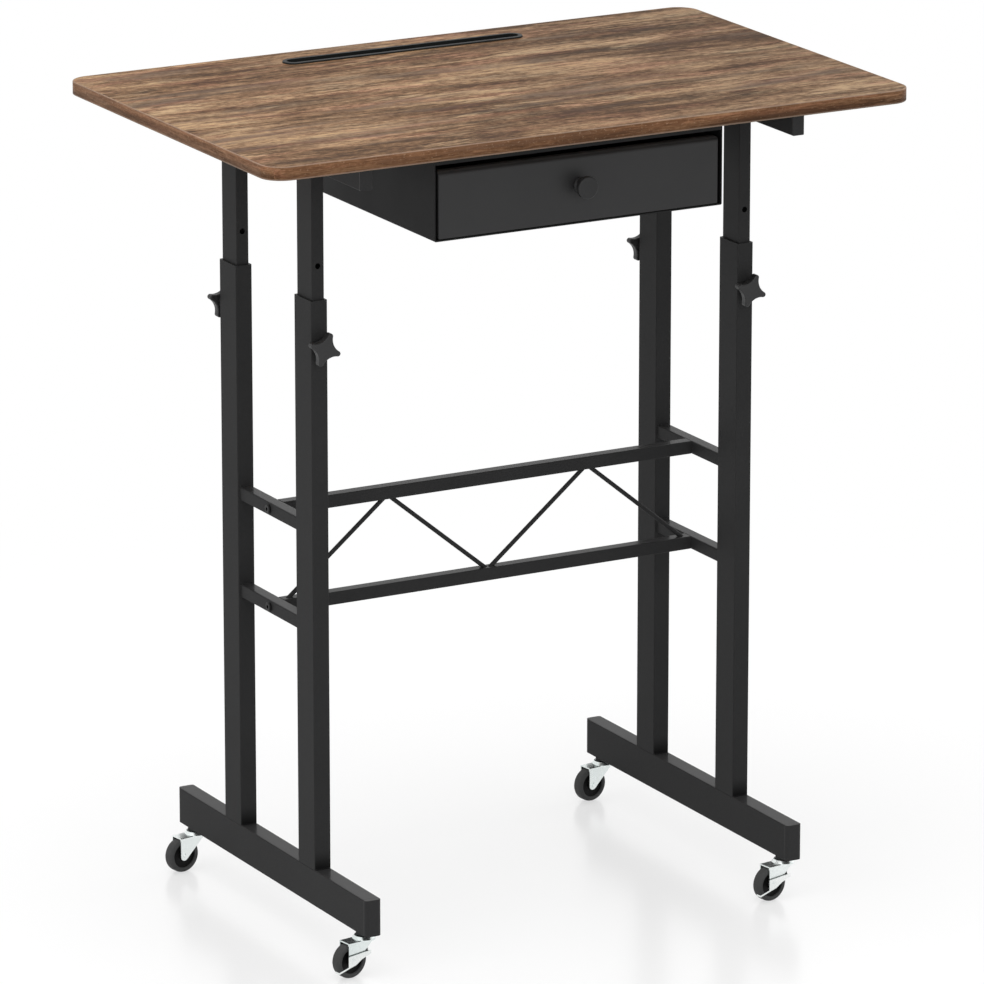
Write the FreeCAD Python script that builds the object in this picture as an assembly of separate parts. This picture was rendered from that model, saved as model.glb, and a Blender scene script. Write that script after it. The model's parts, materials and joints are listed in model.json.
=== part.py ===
import FreeCAD, Part
import math
import os

Vector = FreeCAD.Vector

# Height-adjustable rolling desk. Millimetres, +Z up, +X to the user's right, the user stands at -Y.
# The origin is on the floor under the middle of the tabletop.

# Tabletop and its edge strip
top_length = 800.0
top_depth = 500.0
top_thickness = 15.0
top_height = 934.0
top_corner_radius = 26.0
band_thickness = 1.5
band_edge_round = 0.9

# Tablet slot and its liner
slot_length = 305.0
slot_width = 26.0
slot_from_back = 50.0
liner_rim_width = 3.0
liner_rim_depth = 2.5
liner_lip_height = 1.8
liner_lip_round = 1.0
liner_wall = 1.8
liner_floor = 1.5
liner_fit = 0.1

# Leg frame, set back from the tabletop's middle line
frame_y = 3.0
leg_x = 269.0
leg_y = 90.0
outer_width = 20.0
outer_depth = 40.0
outer_wall = 1.5
outer_corner = 1.2
outer_top = 743.0
inner_width = 15.0
inner_depth = 35.0
inner_wall = 1.2
inner_corner = 1.0
inner_tail = 115.0

# Feet and the caps in open tube ends
foot_length = 460.0
foot_height = 42.0
foot_bottom = 50.0
foot_cap_plate = 5.0
foot_cap_round = 4.5
rail_cap_plate = 2.0
rail_cap_round = 0.8
cap_plug = 9.0
cap_fit = 0.1

# Rails and zigzag brace
rail_size = 15.0
rail_wall = 1.2
rail_corner = 1.5
upper_rail_top = 489.0
lower_rail_top = 376.0
rod_diameter = 5.0
brace_top_x = 128.0
brace_end_x = 252.0
brace_gap = 4.5
bolt_diameter = 6.0
bolt_head_diameter = 11.0
bolt_head_height = 2.6
bolt_socket = 4.0
bolt_socket_depth = 1.8
bolt_end_gap = 1.0
insert_length = 14.0
insert_fit = 0.1
bolt_clearance = 0.2
thread_fit = 0.05

# Rails under the tabletop
top_rail_length = 442.0
top_rail_width = 15.0
top_rail_height = 30.0
top_rail_wall = 1.5
top_rail_corner = 1.6
screw_diameter = 4.0
screw_head_diameter = 8.0
screw_head_height = 2.2
screw_bite = 10.0
screw_clearance = 0.2
screw_spread = 150.0

# Height locks: hole row, clamp nut, stud and star knob
knob_height = 691.0
lock_step_height = 90.0
hole_diameter = 6.6
holes_above = 1
holes_below = 3
stud_diameter = 6.0
stud_tip_gap = 0.5
stud_fit = 0.08
clamp_nut_diameter = 13.0
clamp_nut_height = 2.5
lock_travel = 3.0
knob_gap = 0.3
knob_collar_diameter = 15.0
knob_collar_height = 1.5
knob_thickness = 9.0
knob_tip_radius = 19.0
knob_valley_radius = 10.8
knob_lobe_radius = 3.0
knob_edge_round = 1.4
knob_phase = -22.0
knob_lobes = 4
stud_seat = 7.0
bush_length = 30.0
bush_recess = 1.0
bush_fit = 0.05
bush_slip = 0.2

# Drawer case
case_width = 359.0
case_front_y = -205.0
case_depth = 300.0
case_height = 100.5
case_sheet = 1.2
case_bend = 2.0
case_flange = 16.0
case_screw_inset = 30.0
case_header_height = 15.8

# Drawer
front_side_gap = 3.8
front_top_gap = 23.3
front_bottom_gap = 0.7
front_thickness = 12.0
front_sheet = 1.2
front_edge_round = 2.0
front_face_round = 1.8
front_top_round = 6.0
tray_side_gap = 1.5
tray_glide_gap = 0.2
tray_back_gap = 6.0
tray_top_gap = 26.0
tray_sheet = 1.0
tray_bend = 3.0
knob_screw_diameter = 4.0
knob_screw_head_diameter = 8.0
knob_screw_head_height = 2.4
knob_screw_bite = 9.0
knob_screw_tip_gap = 1.0
pull_diameter = 25.0
pull_base_diameter = 16.0
pull_neck_diameter = 10.0
pull_length = 20.0
pull_head_thickness = 7.0
pull_base_thickness = 2.0
pull_edge_round = 1.8
pull_rise = 4.0

# Casters
stem_from_foot_end = 24.0
stem_diameter = 8.0
stem_depth_in_foot = 18.0
stem_head_diameter = 13.0
stem_head_height = 1.4
stem_fit = 0.08
caster_angle = 9.0
caster_trail = 20.0
wheel_diameter = 40.0
wheel_width = 13.0
wheel_hub_width = 14.0
wheel_hub_diameter = 11.0
wheel_web = 6.0
wheel_web_slope = 1.0
wheel_rim_inner_diameter = 28.5
wheel_edge_round = 3.5
axle_diameter = 5.0
axle_head_diameter = 6.0
axle_head_height = 1.0
axle_fit = 0.08
fork_sheet = 1.5
fork_side_gap = 0.3
fork_end_radius = 4.9
fork_end_back = 1.9
fork_front = 5.5
fork_front_drop = 1.0
fork_crown_gap = 0.8
fork_edge_round = 1.2
swivel_base_diameter = 26.0
swivel_top_diameter = 21.0
swivel_height = 3.2
swivel_gap = 0.3
lock_nut_width = 17.0
foot_insert_height = 12.0
foot_insert_length = 16.0

# Brake pedals of the two front casters, given from the axle in the plane of the wheel
pedal_sheet = 1.2
pedal_side_gap = 1.4
pedal_pivot_back = 3.0
pedal_pivot_rise = 3.7
pedal_pip_diameter = 2.8
pedal_pip_fit = 0.06
pedal_tip_forward = 22.0
pedal_tip_rise = 9.9
pedal_tip_height = 3.7
pedal_neck_forward = 9.6
pedal_neck_rise = 2.0
pedal_belly_forward = 1.0
pedal_belly_drop = 3.3
pedal_heel_back = 9.0
pedal_heel_rise = 7.5
pedal_heel_drop = 6.0
pedal_strip_top_drop = 4.2
pedal_strip_back = 22.0
pedal_strip_fall = 3.4
pedal_strip_height = 2.2
pedal_hook_length = 7.0
pedal_sill_rise = 3.0
pedal_shoulder_drop = 1.2
pedal_peak_rise = 13.2
pedal_peak_width = 10.0
pedal_peak_side_gap = 0.7

# How far a cutter runs past the faces it cuts through
cut_margin = 1.0

# Values that follow from the sizes above
top_underside = top_height - top_thickness
top_rail_bottom = top_underside - top_rail_height
case_bottom = top_underside - case_height
foot_width = outer_width
foot_top = foot_bottom + foot_height
inner_bottom = knob_height - holes_below * lock_step_height - inner_tail
stem_y = foot_length / 2 - stem_from_foot_end
slot_y = top_depth / 2 - slot_from_back
hub_half = wheel_hub_width / 2
fork_inner = hub_half + fork_side_gap
fork_outer = fork_inner + fork_sheet
axle_z = wheel_diameter / 2
crown_under = wheel_diameter + fork_crown_gap
crown_top = crown_under + fork_sheet
swivel_top = crown_top + swivel_height

SIDES = {"left": -1, "right": 1}
ENDS = {"front": -1, "back": 1}


def rounded_rectangle(width, height, radius):
    """Face in the XY plane, centred on the origin, with four equal corner arcs."""
    x = width / 2
    y = height / 2
    if radius <= 0:
        return Part.makePlane(width, height, Vector(-x, -y, 0))
    edges = []
    corner = Vector(x - radius, y - radius, 0)
    for turn in range(4):
        spin = FreeCAD.Rotation(Vector(0, 0, 1), 90 * turn)
        mid = Vector(corner.x, corner.y, 0) if turn % 2 == 0 else Vector(corner.y, corner.x, 0)
        ahead = Vector(corner.y, corner.x, 0) if turn % 2 == 0 else Vector(corner.x, corner.y, 0)
        start = spin.multVec(mid + Vector(radius, 0, 0))
        middle = spin.multVec(mid + Vector(math.cos(math.pi / 4), math.sin(math.pi / 4), 0) * radius)
        end = spin.multVec(mid + Vector(0, radius, 0))
        turned = FreeCAD.Rotation(Vector(0, 0, 1), 90 * (turn + 1))
        following = turned.multVec(ahead + Vector(radius, 0, 0))
        edges.append(Part.Arc(start, middle, end).toShape())
        edges.append(Part.LineSegment(end, following).toShape())
    return Part.Face(Part.Wire(edges))


def stadium(length, width):
    """Face in the XY plane with its long side on X and half-round ends."""
    x = length / 2 - width / 2
    y = width / 2
    edges = [
        Part.LineSegment(Vector(-x, -y, 0), Vector(x, -y, 0)).toShape(),
        Part.Arc(Vector(x, -y, 0), Vector(x + y, 0, 0), Vector(x, y, 0)).toShape(),
        Part.LineSegment(Vector(x, y, 0), Vector(-x, y, 0)).toShape(),
        Part.Arc(Vector(-x, y, 0), Vector(-x - y, 0, 0), Vector(-x, -y, 0)).toShape(),
    ]
    return Part.Face(Part.Wire(edges))


def prism(face, low, high):
    """Face of the XY plane drawn out along Z from low to high."""
    return face.extrude(Vector(0, 0, high - low)).translated(Vector(0, 0, low))


def tube(width, depth, wall, corner, low, high):
    """Hollow section standing on Z."""
    outside = prism(rounded_rectangle(width, depth, corner), low, high)
    hollow = rounded_rectangle(width - 2 * wall, depth - 2 * wall, corner - wall)
    bore = prism(hollow, low - cut_margin, high + cut_margin)
    return outside.cut(bore)


def box(x0, x1, y0, y1, z0, z1):
    return Part.makeBox(x1 - x0, y1 - y0, z1 - z0, Vector(x0, y0, z0))


def rod(diameter, start, end):
    return Part.makeCylinder(diameter / 2, start.distanceToPoint(end), start, end - start)


def drill(diameter, start, end):
    """Cutter for a hole between two points, drawn past both of them."""
    past = (end - start).normalize() * cut_margin
    return rod(diameter, start - past, end + past)


def along_x(solid):
    """Turns a piece that stands on Z so that it runs along +X."""
    return solid.rotated(Vector(0, 0, 0), Vector(0, 1, 0), 90)


def along_y(solid, way=1):
    """Turns a piece that stands on Z so that it runs along +Y, or -Y where way is -1."""
    return solid.rotated(Vector(0, 0, 0), Vector(1, 0, 0), -90 * way)


def polygon(points):
    """Face through corner points in the XY plane."""
    corners = [Vector(x, y, 0) for x, y in points]
    return Part.Face(Part.makePolygon(corners + corners[:1]))


def hexagon(width):
    """Regular hexagon in the XY plane, width across its flats."""
    reach = width / math.sqrt(3)
    angles = [math.radians(60 * k) for k in range(6)]
    return polygon([(reach * math.cos(a), reach * math.sin(a)) for a in angles])


def edges_at(solid, height):
    """Edges of a piece that lie in one level plane."""
    flat = []
    for edge in solid.Edges:
        limits = edge.BoundBox
        if abs(limits.ZMin - height) < 1e-5 and abs(limits.ZMax - height) < 1e-5:
            flat.append(edge)
    return flat


def rim_edges(solid, height, radius):
    """Circles of one radius about Z that lie in one level plane."""
    return [edge for edge in edges_at(solid, height) if abs(edge.BoundBox.XMax - radius) < 1e-3]


def end_cap(width, depth, wall, corner, plate, rounding):
    """Plastic cap of a tube end: a plate above z 0 with its two long edges rounded, and a plug below."""
    cover = prism(rounded_rectangle(width, depth, corner), 0, plate)
    profile = prism(rounded_rectangle(width, 2 * plate, rounding), -depth / 2, depth / 2)
    cover = cover.common(along_y(profile, -1))
    bore_fit = wall + cap_fit
    plug_face = rounded_rectangle(width - 2 * bore_fit, depth - 2 * bore_fit, corner - wall)
    return cover.fuse(prism(plug_face, -cap_plug, 0)).removeSplitter()


def wood_screw(x, y, seat, clamped):
    """Pan-head screw driven up through a clamped thickness that starts at the height seat."""
    head = rod(screw_head_diameter, Vector(x, y, seat - screw_head_height), Vector(x, y, seat))
    shank = rod(screw_diameter, Vector(x, y, seat), Vector(x, y, seat + clamped + screw_bite))
    return head.fuse(shank).removeSplitter()


def save(name, pieces):
    """Writes one node, a single solid or a group of separate ones."""
    solids = [solid for piece in pieces for solid in piece.Solids]
    shape = solids[0] if len(solids) == 1 else Part.makeCompound(solids)
    shape.exportStep("parts/" + name + ".step")


def leg_places():
    """Name, X, Y and clamp side of each leg."""
    for end, sign_y in ENDS.items():
        for side, sign_x in SIDES.items():
            yield end + "_" + side, sign_x * leg_x, frame_y + sign_y * leg_y, sign_y


def make_foot(sign):
    """Floor tube of one side, open at its ends and drilled below for the caster stems."""
    half = foot_length / 2 - foot_cap_plate
    body = along_y(tube(foot_width, foot_height, outer_wall, outer_corner, -half, half))
    body = body.translated(Vector(sign * leg_x, frame_y, foot_bottom + foot_height / 2))
    for way in ENDS.values():
        low = Vector(sign * leg_x, frame_y + way * stem_y, foot_bottom)
        body = body.cut(drill(stem_diameter + 2 * bolt_clearance, low, low + Vector(0, 0, outer_wall)))
    return body


def make_end_caps(cap, reach, height):
    """Copies of a cap on both ends of the two tubes that run along Y at one height."""
    caps = []
    for sign in SIDES.values():
        for way in ENDS.values():
            seat = Vector(sign * leg_x, frame_y + way * reach, height)
            caps.append(along_y(cap, way).translated(seat))
    return caps


def make_outer_leg(x, y, way):
    """Lower leg tube with the stud hole in its outward wall."""
    leg = tube(outer_width, outer_depth, outer_wall, outer_corner, foot_top, outer_top)
    leg = leg.translated(Vector(x, y, 0))
    start = Vector(x, y + way * (outer_depth / 2 - outer_wall), knob_height)
    return leg.cut(drill(hole_diameter, start, start + Vector(0, way * outer_wall, 0)))


def make_inner_leg(x, y):
    """Upper leg tube with its row of locking holes."""
    leg = tube(inner_width, inner_depth, inner_wall, inner_corner, inner_bottom, top_rail_bottom)
    leg = leg.translated(Vector(x, y, 0))
    for step in range(-holes_below, holes_above + 1):
        start = Vector(x, y - inner_depth / 2, knob_height + step * lock_step_height)
        leg = leg.cut(drill(hole_diameter, start, start + Vector(0, inner_depth, 0)))
    return leg


def make_guide_bush(x, y):
    """Plastic sleeve just below the mouth of an outer leg."""
    high = outer_top - bush_recess
    low = high - bush_length
    bore = outer_wall + bush_fit
    outside = rounded_rectangle(outer_width - 2 * bore, outer_depth - 2 * bore, outer_corner - outer_wall)
    slip = 2 * bush_slip
    inside = rounded_rectangle(inner_width + slip, inner_depth + slip, inner_corner + bush_slip)
    bush = prism(outside, low, high).cut(prism(inside, low - cut_margin, high + cut_margin))
    return bush.translated(Vector(x, y, 0))


def make_side_rail(sign, top):
    """Short rail between the front and back leg of one side, drilled for the cross bolt."""
    half = leg_y - outer_depth / 2
    rail = along_y(tube(rail_size, rail_size, rail_wall, rail_corner, -half, half))
    middle = Vector(sign * leg_x, frame_y, top - rail_size / 2)
    reach = Vector(rail_size / 2, 0, 0)
    bolt_hole = drill(bolt_diameter + 2 * bolt_clearance, middle - reach, middle + reach)
    return rail.translated(middle).cut(bolt_hole)


def make_long_rail(top):
    """Rail from side to side, between the side rails."""
    half = leg_x - rail_size / 2
    rail = along_x(tube(rail_size, rail_size, rail_wall, rail_corner, -half, half))
    return rail.translated(Vector(0, frame_y, top - rail_size / 2))


def make_rail_insert(sign, top):
    """Threaded block welded into one end of a long rail."""
    side = rail_size - 2 * (rail_wall + insert_fit)
    half = side / 2
    start = leg_x - rail_size / 2 - insert_length
    end = start + insert_length
    block = box(start, end, -half, half, -half, half)
    block = block.cut(drill(bolt_diameter + 2 * thread_fit, Vector(start, 0, 0), Vector(end, 0, 0)))
    block = block.rotated(Vector(0, 0, 0), Vector(0, 0, 1), 0 if sign > 0 else 180)
    return block.translated(Vector(0, frame_y, top - rail_size / 2))


def make_rail_bolt(sign, top):
    """Button-head bolt through a side rail into the long rail's insert."""
    length = rail_size + insert_length - bolt_end_gap
    head = Part.makeCylinder(bolt_head_diameter / 2, bolt_head_height)
    head = head.makeFillet(bolt_head_height / 2, edges_at(head, bolt_head_height))
    socket_floor = bolt_head_height - bolt_socket_depth
    socket = prism(hexagon(bolt_socket), socket_floor, bolt_head_height + cut_margin)
    shank = rod(bolt_diameter, Vector(0, 0, -length), Vector(0, 0, 0))
    bolt = along_x(head.cut(socket).fuse(shank).removeSplitter())
    bolt = bolt.translated(Vector(leg_x + rail_size / 2, 0, 0))
    bolt = bolt.rotated(Vector(0, 0, 0), Vector(0, 0, 1), 0 if sign > 0 else 180)
    return bolt.translated(Vector(0, frame_y, top - rail_size / 2))


def make_brace_rods():
    """Four rods of the zigzag, trimmed flat against the two long rails."""
    low = lower_rail_top
    high = upper_rail_top - rail_size
    between = box(-leg_x, leg_x, frame_y - rail_size, frame_y + rail_size, low, high)
    rods = []
    for sign in SIDES.values():
        spans = [(brace_gap, brace_top_x - brace_gap), (brace_end_x, brace_top_x + brace_gap)]
        for foot_x, head_x in spans:
            foot = Vector(sign * foot_x, frame_y, low)
            head = Vector(sign * head_x, frame_y, high)
            past = (head - foot).normalize() * rod_diameter * 2
            rods.append(rod(rod_diameter, foot - past, head + past).common(between))
    return rods


def make_clamp_nut(x, y, way):
    """Round nut welded over the stud hole of an outer leg."""
    ring = Part.makeCylinder(clamp_nut_diameter / 2, clamp_nut_height)
    bore = drill(stud_diameter + 2 * stud_fit, Vector(0, 0, 0), Vector(0, 0, clamp_nut_height))
    return along_y(ring.cut(bore), way).translated(Vector(x, y + way * outer_depth / 2, knob_height))


def knob_back():
    """Distance from the leg's middle to the star knob's inner face, backed off."""
    return outer_depth / 2 + clamp_nut_height + lock_travel + knob_gap


def make_clamp_stud(x, y, way):
    """Threaded stud whose tip stops just short of the inner leg."""
    tip = inner_depth / 2 + stud_tip_gap
    seat = knob_back() + stud_seat
    stud = rod(stud_diameter, Vector(0, 0, tip), Vector(0, 0, seat))
    return along_y(stud, way).translated(Vector(x, y, knob_height))


def star_outline(phase):
    """Star knob's outline: small lobes joined by wide hollows that are tangent to them."""
    step = 2 * math.pi / knob_lobes
    lobe_at = knob_tip_radius - knob_lobe_radius
    across = math.cos(step / 2)
    far = lobe_at ** 2 + knob_valley_radius ** 2 - 2 * lobe_at * knob_valley_radius * across
    slack = knob_lobe_radius - knob_valley_radius + lobe_at * across
    hollow = (far - knob_lobe_radius ** 2) / (2 * slack)
    hollow_at = knob_valley_radius + hollow
    share = knob_lobe_radius / (knob_lobe_radius + hollow)
    turns = [math.radians(phase) + step * k / 2 for k in range(2 * knob_lobes + 1)]
    rays = [Vector(math.cos(t), math.sin(t), 0) for t in turns]
    edges = []
    for k in range(0, 2 * knob_lobes, 2):
        lobe = rays[k] * lobe_at
        before = lobe + (rays[k - 1 if k else -2] * hollow_at - lobe) * share
        after = lobe + (rays[k + 1] * hollow_at - lobe) * share
        lobe_next = rays[k + 2] * lobe_at
        reached = lobe_next + (rays[k + 1] * hollow_at - lobe_next) * share
        edges.append(Part.Arc(before, rays[k] * knob_tip_radius, after).toShape())
        edges.append(Part.Arc(after, rays[k + 1] * knob_valley_radius, reached).toShape())
    return Part.Face(Part.Wire(edges))


def make_star_knob(x, y, way):
    """Four-lobed knob with a collar and a blind hole for its stud."""
    star_low = knob_collar_height
    star_high = star_low + knob_thickness
    star = prism(star_outline(-way * knob_phase), star_low, star_high)
    star = star.makeFillet(knob_edge_round, edges_at(star, star_high) + edges_at(star, star_low))
    collar = Part.makeCylinder(knob_collar_diameter / 2, star_low + knob_thickness / 2)
    mouth = Vector(0, 0, -cut_margin)
    bore = rod(stud_diameter + 2 * stud_fit, mouth, Vector(0, 0, stud_seat + knob_gap))
    knob = star.fuse(collar).removeSplitter().cut(bore)
    return along_y(knob, way).translated(Vector(x, y + way * knob_back(), knob_height))


def rail_screw_places():
    """X and Y of the screws that hold the top rails."""
    for sign in SIDES.values():
        for way in (-1, 0, 1):
            yield sign * leg_x, frame_y + way * screw_spread


def case_screw_places():
    """X and Y of the screws that hold the drawer case."""
    reach = case_depth / 2 - case_screw_inset
    for sign in SIDES.values():
        for way in (-1, 0, 1):
            yield sign * (case_width - case_flange) / 2, case_front_y + case_depth / 2 + way * reach


def make_top_rail(sign):
    """Rail under the tabletop that carries the two inner legs of one side."""
    half = top_rail_length / 2 - rail_cap_plate
    rail = along_y(tube(top_rail_width, top_rail_height, top_rail_wall, top_rail_corner, -half, half))
    rail = rail.translated(Vector(sign * leg_x, frame_y, top_rail_bottom + top_rail_height / 2))
    for x, y in rail_screw_places():
        low = Vector(x, y, top_rail_bottom)
        rail = rail.cut(drill(screw_diameter + 2 * screw_clearance, low, Vector(x, y, top_underside)))
    return rail


def make_screws():
    """Screws of the top rails and of the drawer case."""
    screws = [wood_screw(x, y, top_rail_bottom, top_rail_height) for x, y in rail_screw_places()]
    seat = top_underside - case_sheet
    return screws + [wood_screw(x, y, seat, case_sheet) for x, y in case_screw_places()]


def make_tabletop():
    """Board with a stepped slot and pilot holes from below."""
    inner = 2 * band_thickness
    corner = top_corner_radius - band_thickness
    face = rounded_rectangle(top_length - inner, top_depth - inner, corner)
    board = prism(face, top_underside, top_height)
    narrow = 2 * liner_rim_width
    past = top_height + cut_margin
    rim = prism(stadium(slot_length, slot_width), top_height - liner_rim_depth, past)
    well = prism(stadium(slot_length - narrow, slot_width - narrow), top_underside - cut_margin, past)
    board = board.cut(rim.fuse(well).translated(Vector(0, slot_y, 0)))
    for x, y in list(rail_screw_places()) + list(case_screw_places()):
        low = Vector(x, y, top_underside - cut_margin)
        tip = Vector(x, y, top_underside + screw_bite + thread_fit)
        board = board.cut(rod(screw_diameter + 2 * thread_fit, low, tip))
    return board


def make_edge_band():
    """Strip round the board's edge with softened corners."""
    face = rounded_rectangle(top_length, top_depth, top_corner_radius)
    outside = prism(face, top_underside, top_height)
    rims = edges_at(outside, top_height) + edges_at(outside, top_underside)
    outside = outside.makeFillet(band_edge_round, rims)
    inner = 2 * band_thickness
    corner = top_corner_radius - band_thickness
    face = rounded_rectangle(top_length - inner, top_depth - inner, corner)
    return outside.cut(prism(face, top_underside - cut_margin, top_height + cut_margin))


def make_slot_liner():
    """Trough that hangs in the slot by its rim, with a low rounded lip."""
    fit = 2 * liner_fit
    narrow = 2 * liner_rim_width
    low = top_underside + liner_fit
    shelf = top_height - liner_rim_depth
    lip = top_height + liner_lip_height
    rim = prism(stadium(slot_length - fit, slot_width - fit), shelf, lip)
    rim = rim.makeFillet(liner_lip_round, edges_at(rim, lip))
    well = prism(stadium(slot_length - narrow - fit, slot_width - narrow - fit), low, shelf)
    thick = narrow + fit + 2 * liner_wall
    hollow = prism(stadium(slot_length - thick, slot_width - thick), low + liner_floor, lip + cut_margin)
    return rim.fuse(well).removeSplitter().cut(hollow).translated(Vector(0, slot_y, 0))


def make_case_side(sign):
    """Bent sheet side of the drawer case with an upper and a lower flange turned inwards."""
    middle = case_width / 2 - case_flange
    back_y = case_front_y + case_depth
    channel = along_y(tube(2 * case_flange, case_height, case_sheet, case_bend, case_front_y, back_y))
    channel = channel.translated(Vector(middle, 0, case_bottom + case_height / 2))
    inward = middle - 2 * case_flange
    channel = channel.cut(box(inward, middle, case_front_y, back_y, case_bottom, top_underside))
    for x, y in case_screw_places():
        low = Vector(abs(x), y, top_underside - case_sheet)
        high = Vector(abs(x), y, top_underside)
        channel = channel.cut(drill(screw_diameter + 2 * screw_clearance, low, high))
    if sign > 0:
        return channel
    return channel.mirror(Vector(0, 0, 0), Vector(1, 0, 0))


def make_case_cross_sheets():
    """Back sheet of the drawer case, the header over its drawer and the lip under it."""
    inner = 2 * case_sheet
    sheet = rounded_rectangle(case_width - inner, case_height - inner, case_bend - case_sheet)
    middle = Vector(0, 0, case_bottom + case_height / 2)
    back_y = case_front_y + case_depth
    back = along_y(prism(sheet, back_y - case_sheet, back_y)).translated(middle)
    half = case_width / 2
    header_back = case_front_y + case_sheet
    header_low = top_underside - case_header_height
    header = along_y(prism(sheet, case_front_y, header_back)).translated(middle)
    header = header.common(box(-half, half, case_front_y, header_back, header_low, top_underside))
    lip_half = half - case_flange
    lip_back = case_front_y + case_flange
    lip = box(-lip_half, lip_half, case_front_y, lip_back, case_bottom, case_bottom + case_sheet)
    return [back, header, lip]


def front_centre_z():
    """Height of the middle of the drawer's front."""
    front_low = case_bottom + case_sheet + front_bottom_gap
    return (front_low + top_underside - front_top_gap) / 2


def pull_z():
    """Height of the drawer knob's axis."""
    return front_centre_z() + pull_rise


def rolled_block(width, height, depth, radius):
    """Block round the origin whose long edge at +Y and +Z is rolled over; it runs on below and behind."""
    face = rounded_rectangle(2 * depth, 2 * height, radius)
    return along_x(prism(face, -width / 2, width / 2)).translated(Vector(0, -height / 2, 0))


def make_drawer_front():
    """Folded front pan with a rolled upper edge, open towards the tray."""
    width = case_width - 2 * (case_sheet + front_side_gap)
    height = case_height - front_top_gap - case_sheet - front_bottom_gap
    pan = prism(rounded_rectangle(width, height, front_edge_round), 0, front_thickness)
    pan = pan.makeFillet(front_face_round, edges_at(pan, front_thickness))
    pan = pan.common(rolled_block(width, height, front_thickness, front_top_round))
    inner = 2 * front_sheet
    floor = front_thickness - front_sheet
    hollow = prism(rounded_rectangle(width - inner, height - inner, 0), -cut_margin, floor)
    hollow = hollow.common(rolled_block(width, height - inner, floor, front_top_round - front_sheet))
    behind = Vector(0, pull_rise, floor)
    face = Vector(0, pull_rise, front_thickness)
    hole = drill(knob_screw_diameter + 2 * screw_clearance, behind, face)
    pan = along_y(pan.cut(hollow).cut(hole), -1)
    return pan.translated(Vector(0, case_front_y + front_thickness, front_centre_z()))


def bent_block(x, front, back, low, high, bend):
    """Block on both sides of the YZ plane, with its two lower long edges rounded."""
    block = box(-x, x, front, back, low, high)
    long_edges = [e for e in edges_at(block, low) if e.BoundBox.YLength > (back - front) / 2]
    return block.makeFillet(bend, long_edges)


def make_drawer_tray():
    """Open sheet tray that glides on the lower flanges of the case."""
    half = case_width / 2 - case_sheet - tray_side_gap
    front = case_front_y + front_thickness
    back = case_front_y + case_depth - case_sheet - tray_back_gap
    low = case_bottom + case_sheet + tray_glide_gap
    high = top_underside - tray_top_gap
    wall = tray_sheet
    tray = bent_block(half, front, back, low, high, tray_bend)
    past = high + cut_margin
    inside = bent_block(half - wall, front + wall, back - wall, low + wall, past, tray_bend - wall)
    start = Vector(0, front, pull_z())
    hole = drill(knob_screw_diameter + 2 * screw_clearance, start, start + Vector(0, wall, 0))
    return tray.cut(inside).cut(hole)


def make_drawer_knob():
    """Turned mushroom knob on the drawer's front."""
    rim = pull_diameter / 2
    base = pull_base_diameter / 2
    neck = pull_neck_diameter / 2
    under = pull_length - pull_head_thickness
    bore = knob_screw_diameter / 2 + thread_fit
    shoulder = (pull_base_thickness + under) / 2
    deep = knob_screw_bite + knob_screw_tip_gap
    outline = [
        Part.LineSegment(Vector(bore, 0, 0), Vector(base, 0, 0)).toShape(),
        Part.LineSegment(Vector(base, 0, 0), Vector(base, 0, pull_base_thickness)).toShape(),
        Part.Arc(
            Vector(base, 0, pull_base_thickness), Vector(neck, 0, shoulder), Vector(base, 0, under)
        ).toShape(),
        Part.LineSegment(Vector(base, 0, under), Vector(rim, 0, under)).toShape(),
        Part.LineSegment(Vector(rim, 0, under), Vector(rim, 0, pull_length)).toShape(),
        Part.LineSegment(Vector(rim, 0, pull_length), Vector(0, 0, pull_length)).toShape(),
        Part.LineSegment(Vector(0, 0, pull_length), Vector(0, 0, deep)).toShape(),
        Part.LineSegment(Vector(0, 0, deep), Vector(bore, 0, deep)).toShape(),
        Part.LineSegment(Vector(bore, 0, deep), Vector(bore, 0, 0)).toShape(),
    ]
    knob = Part.Face(Part.Wire(outline)).revolve(Vector(0, 0, 0), Vector(0, 0, 1), 360)
    rings = rim_edges(knob, pull_length, rim) + rim_edges(knob, under, rim)
    knob = knob.makeFillet(pull_edge_round, rings)
    return along_y(knob, -1).translated(Vector(0, case_front_y, pull_z()))


def make_knob_screw():
    """Screw from inside the tray into the drawer knob."""
    clamped = front_thickness + tray_sheet
    head = Part.makeCylinder(knob_screw_head_diameter / 2, knob_screw_head_height)
    head = head.translated(Vector(0, 0, -knob_screw_head_height))
    shank = Part.makeCylinder(knob_screw_diameter / 2, clamped + knob_screw_bite)
    screw = along_y(head.fuse(shank).removeSplitter(), -1)
    return screw.translated(Vector(0, case_front_y + clamped, pull_z()))


def caster_places():
    """Name, X, Y and end sign of each caster stem."""
    for end, sign_y in ENDS.items():
        for side, sign_x in SIDES.items():
            yield end + "_" + side, sign_x * leg_x, frame_y + sign_y * stem_y, sign_y


def place_caster(solid, x, y):
    """Moves a caster piece from its own frame, stem on Z and wheel trailing to -X, to its place."""
    return solid.rotated(Vector(0, 0, 0), Vector(0, 0, 1), caster_angle).translated(Vector(x, y, 0))


def make_stem():
    """Threaded stem with the riveted head that holds the fork."""
    low = crown_under - swivel_gap - stem_head_height
    head = Part.makeCylinder(stem_head_diameter / 2, stem_head_height, Vector(0, 0, low))
    shank = rod(stem_diameter, Vector(0, 0, low), Vector(0, 0, foot_bottom + stem_depth_in_foot))
    return head.fuse(shank).removeSplitter()


def make_lock_nut():
    """Nut between the swivel and the foot."""
    low = swivel_top + swivel_gap
    bore = drill(stem_diameter + 2 * thread_fit, Vector(0, 0, low), Vector(0, 0, foot_bottom))
    return prism(hexagon(lock_nut_width), low, foot_bottom).cut(bore)


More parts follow.
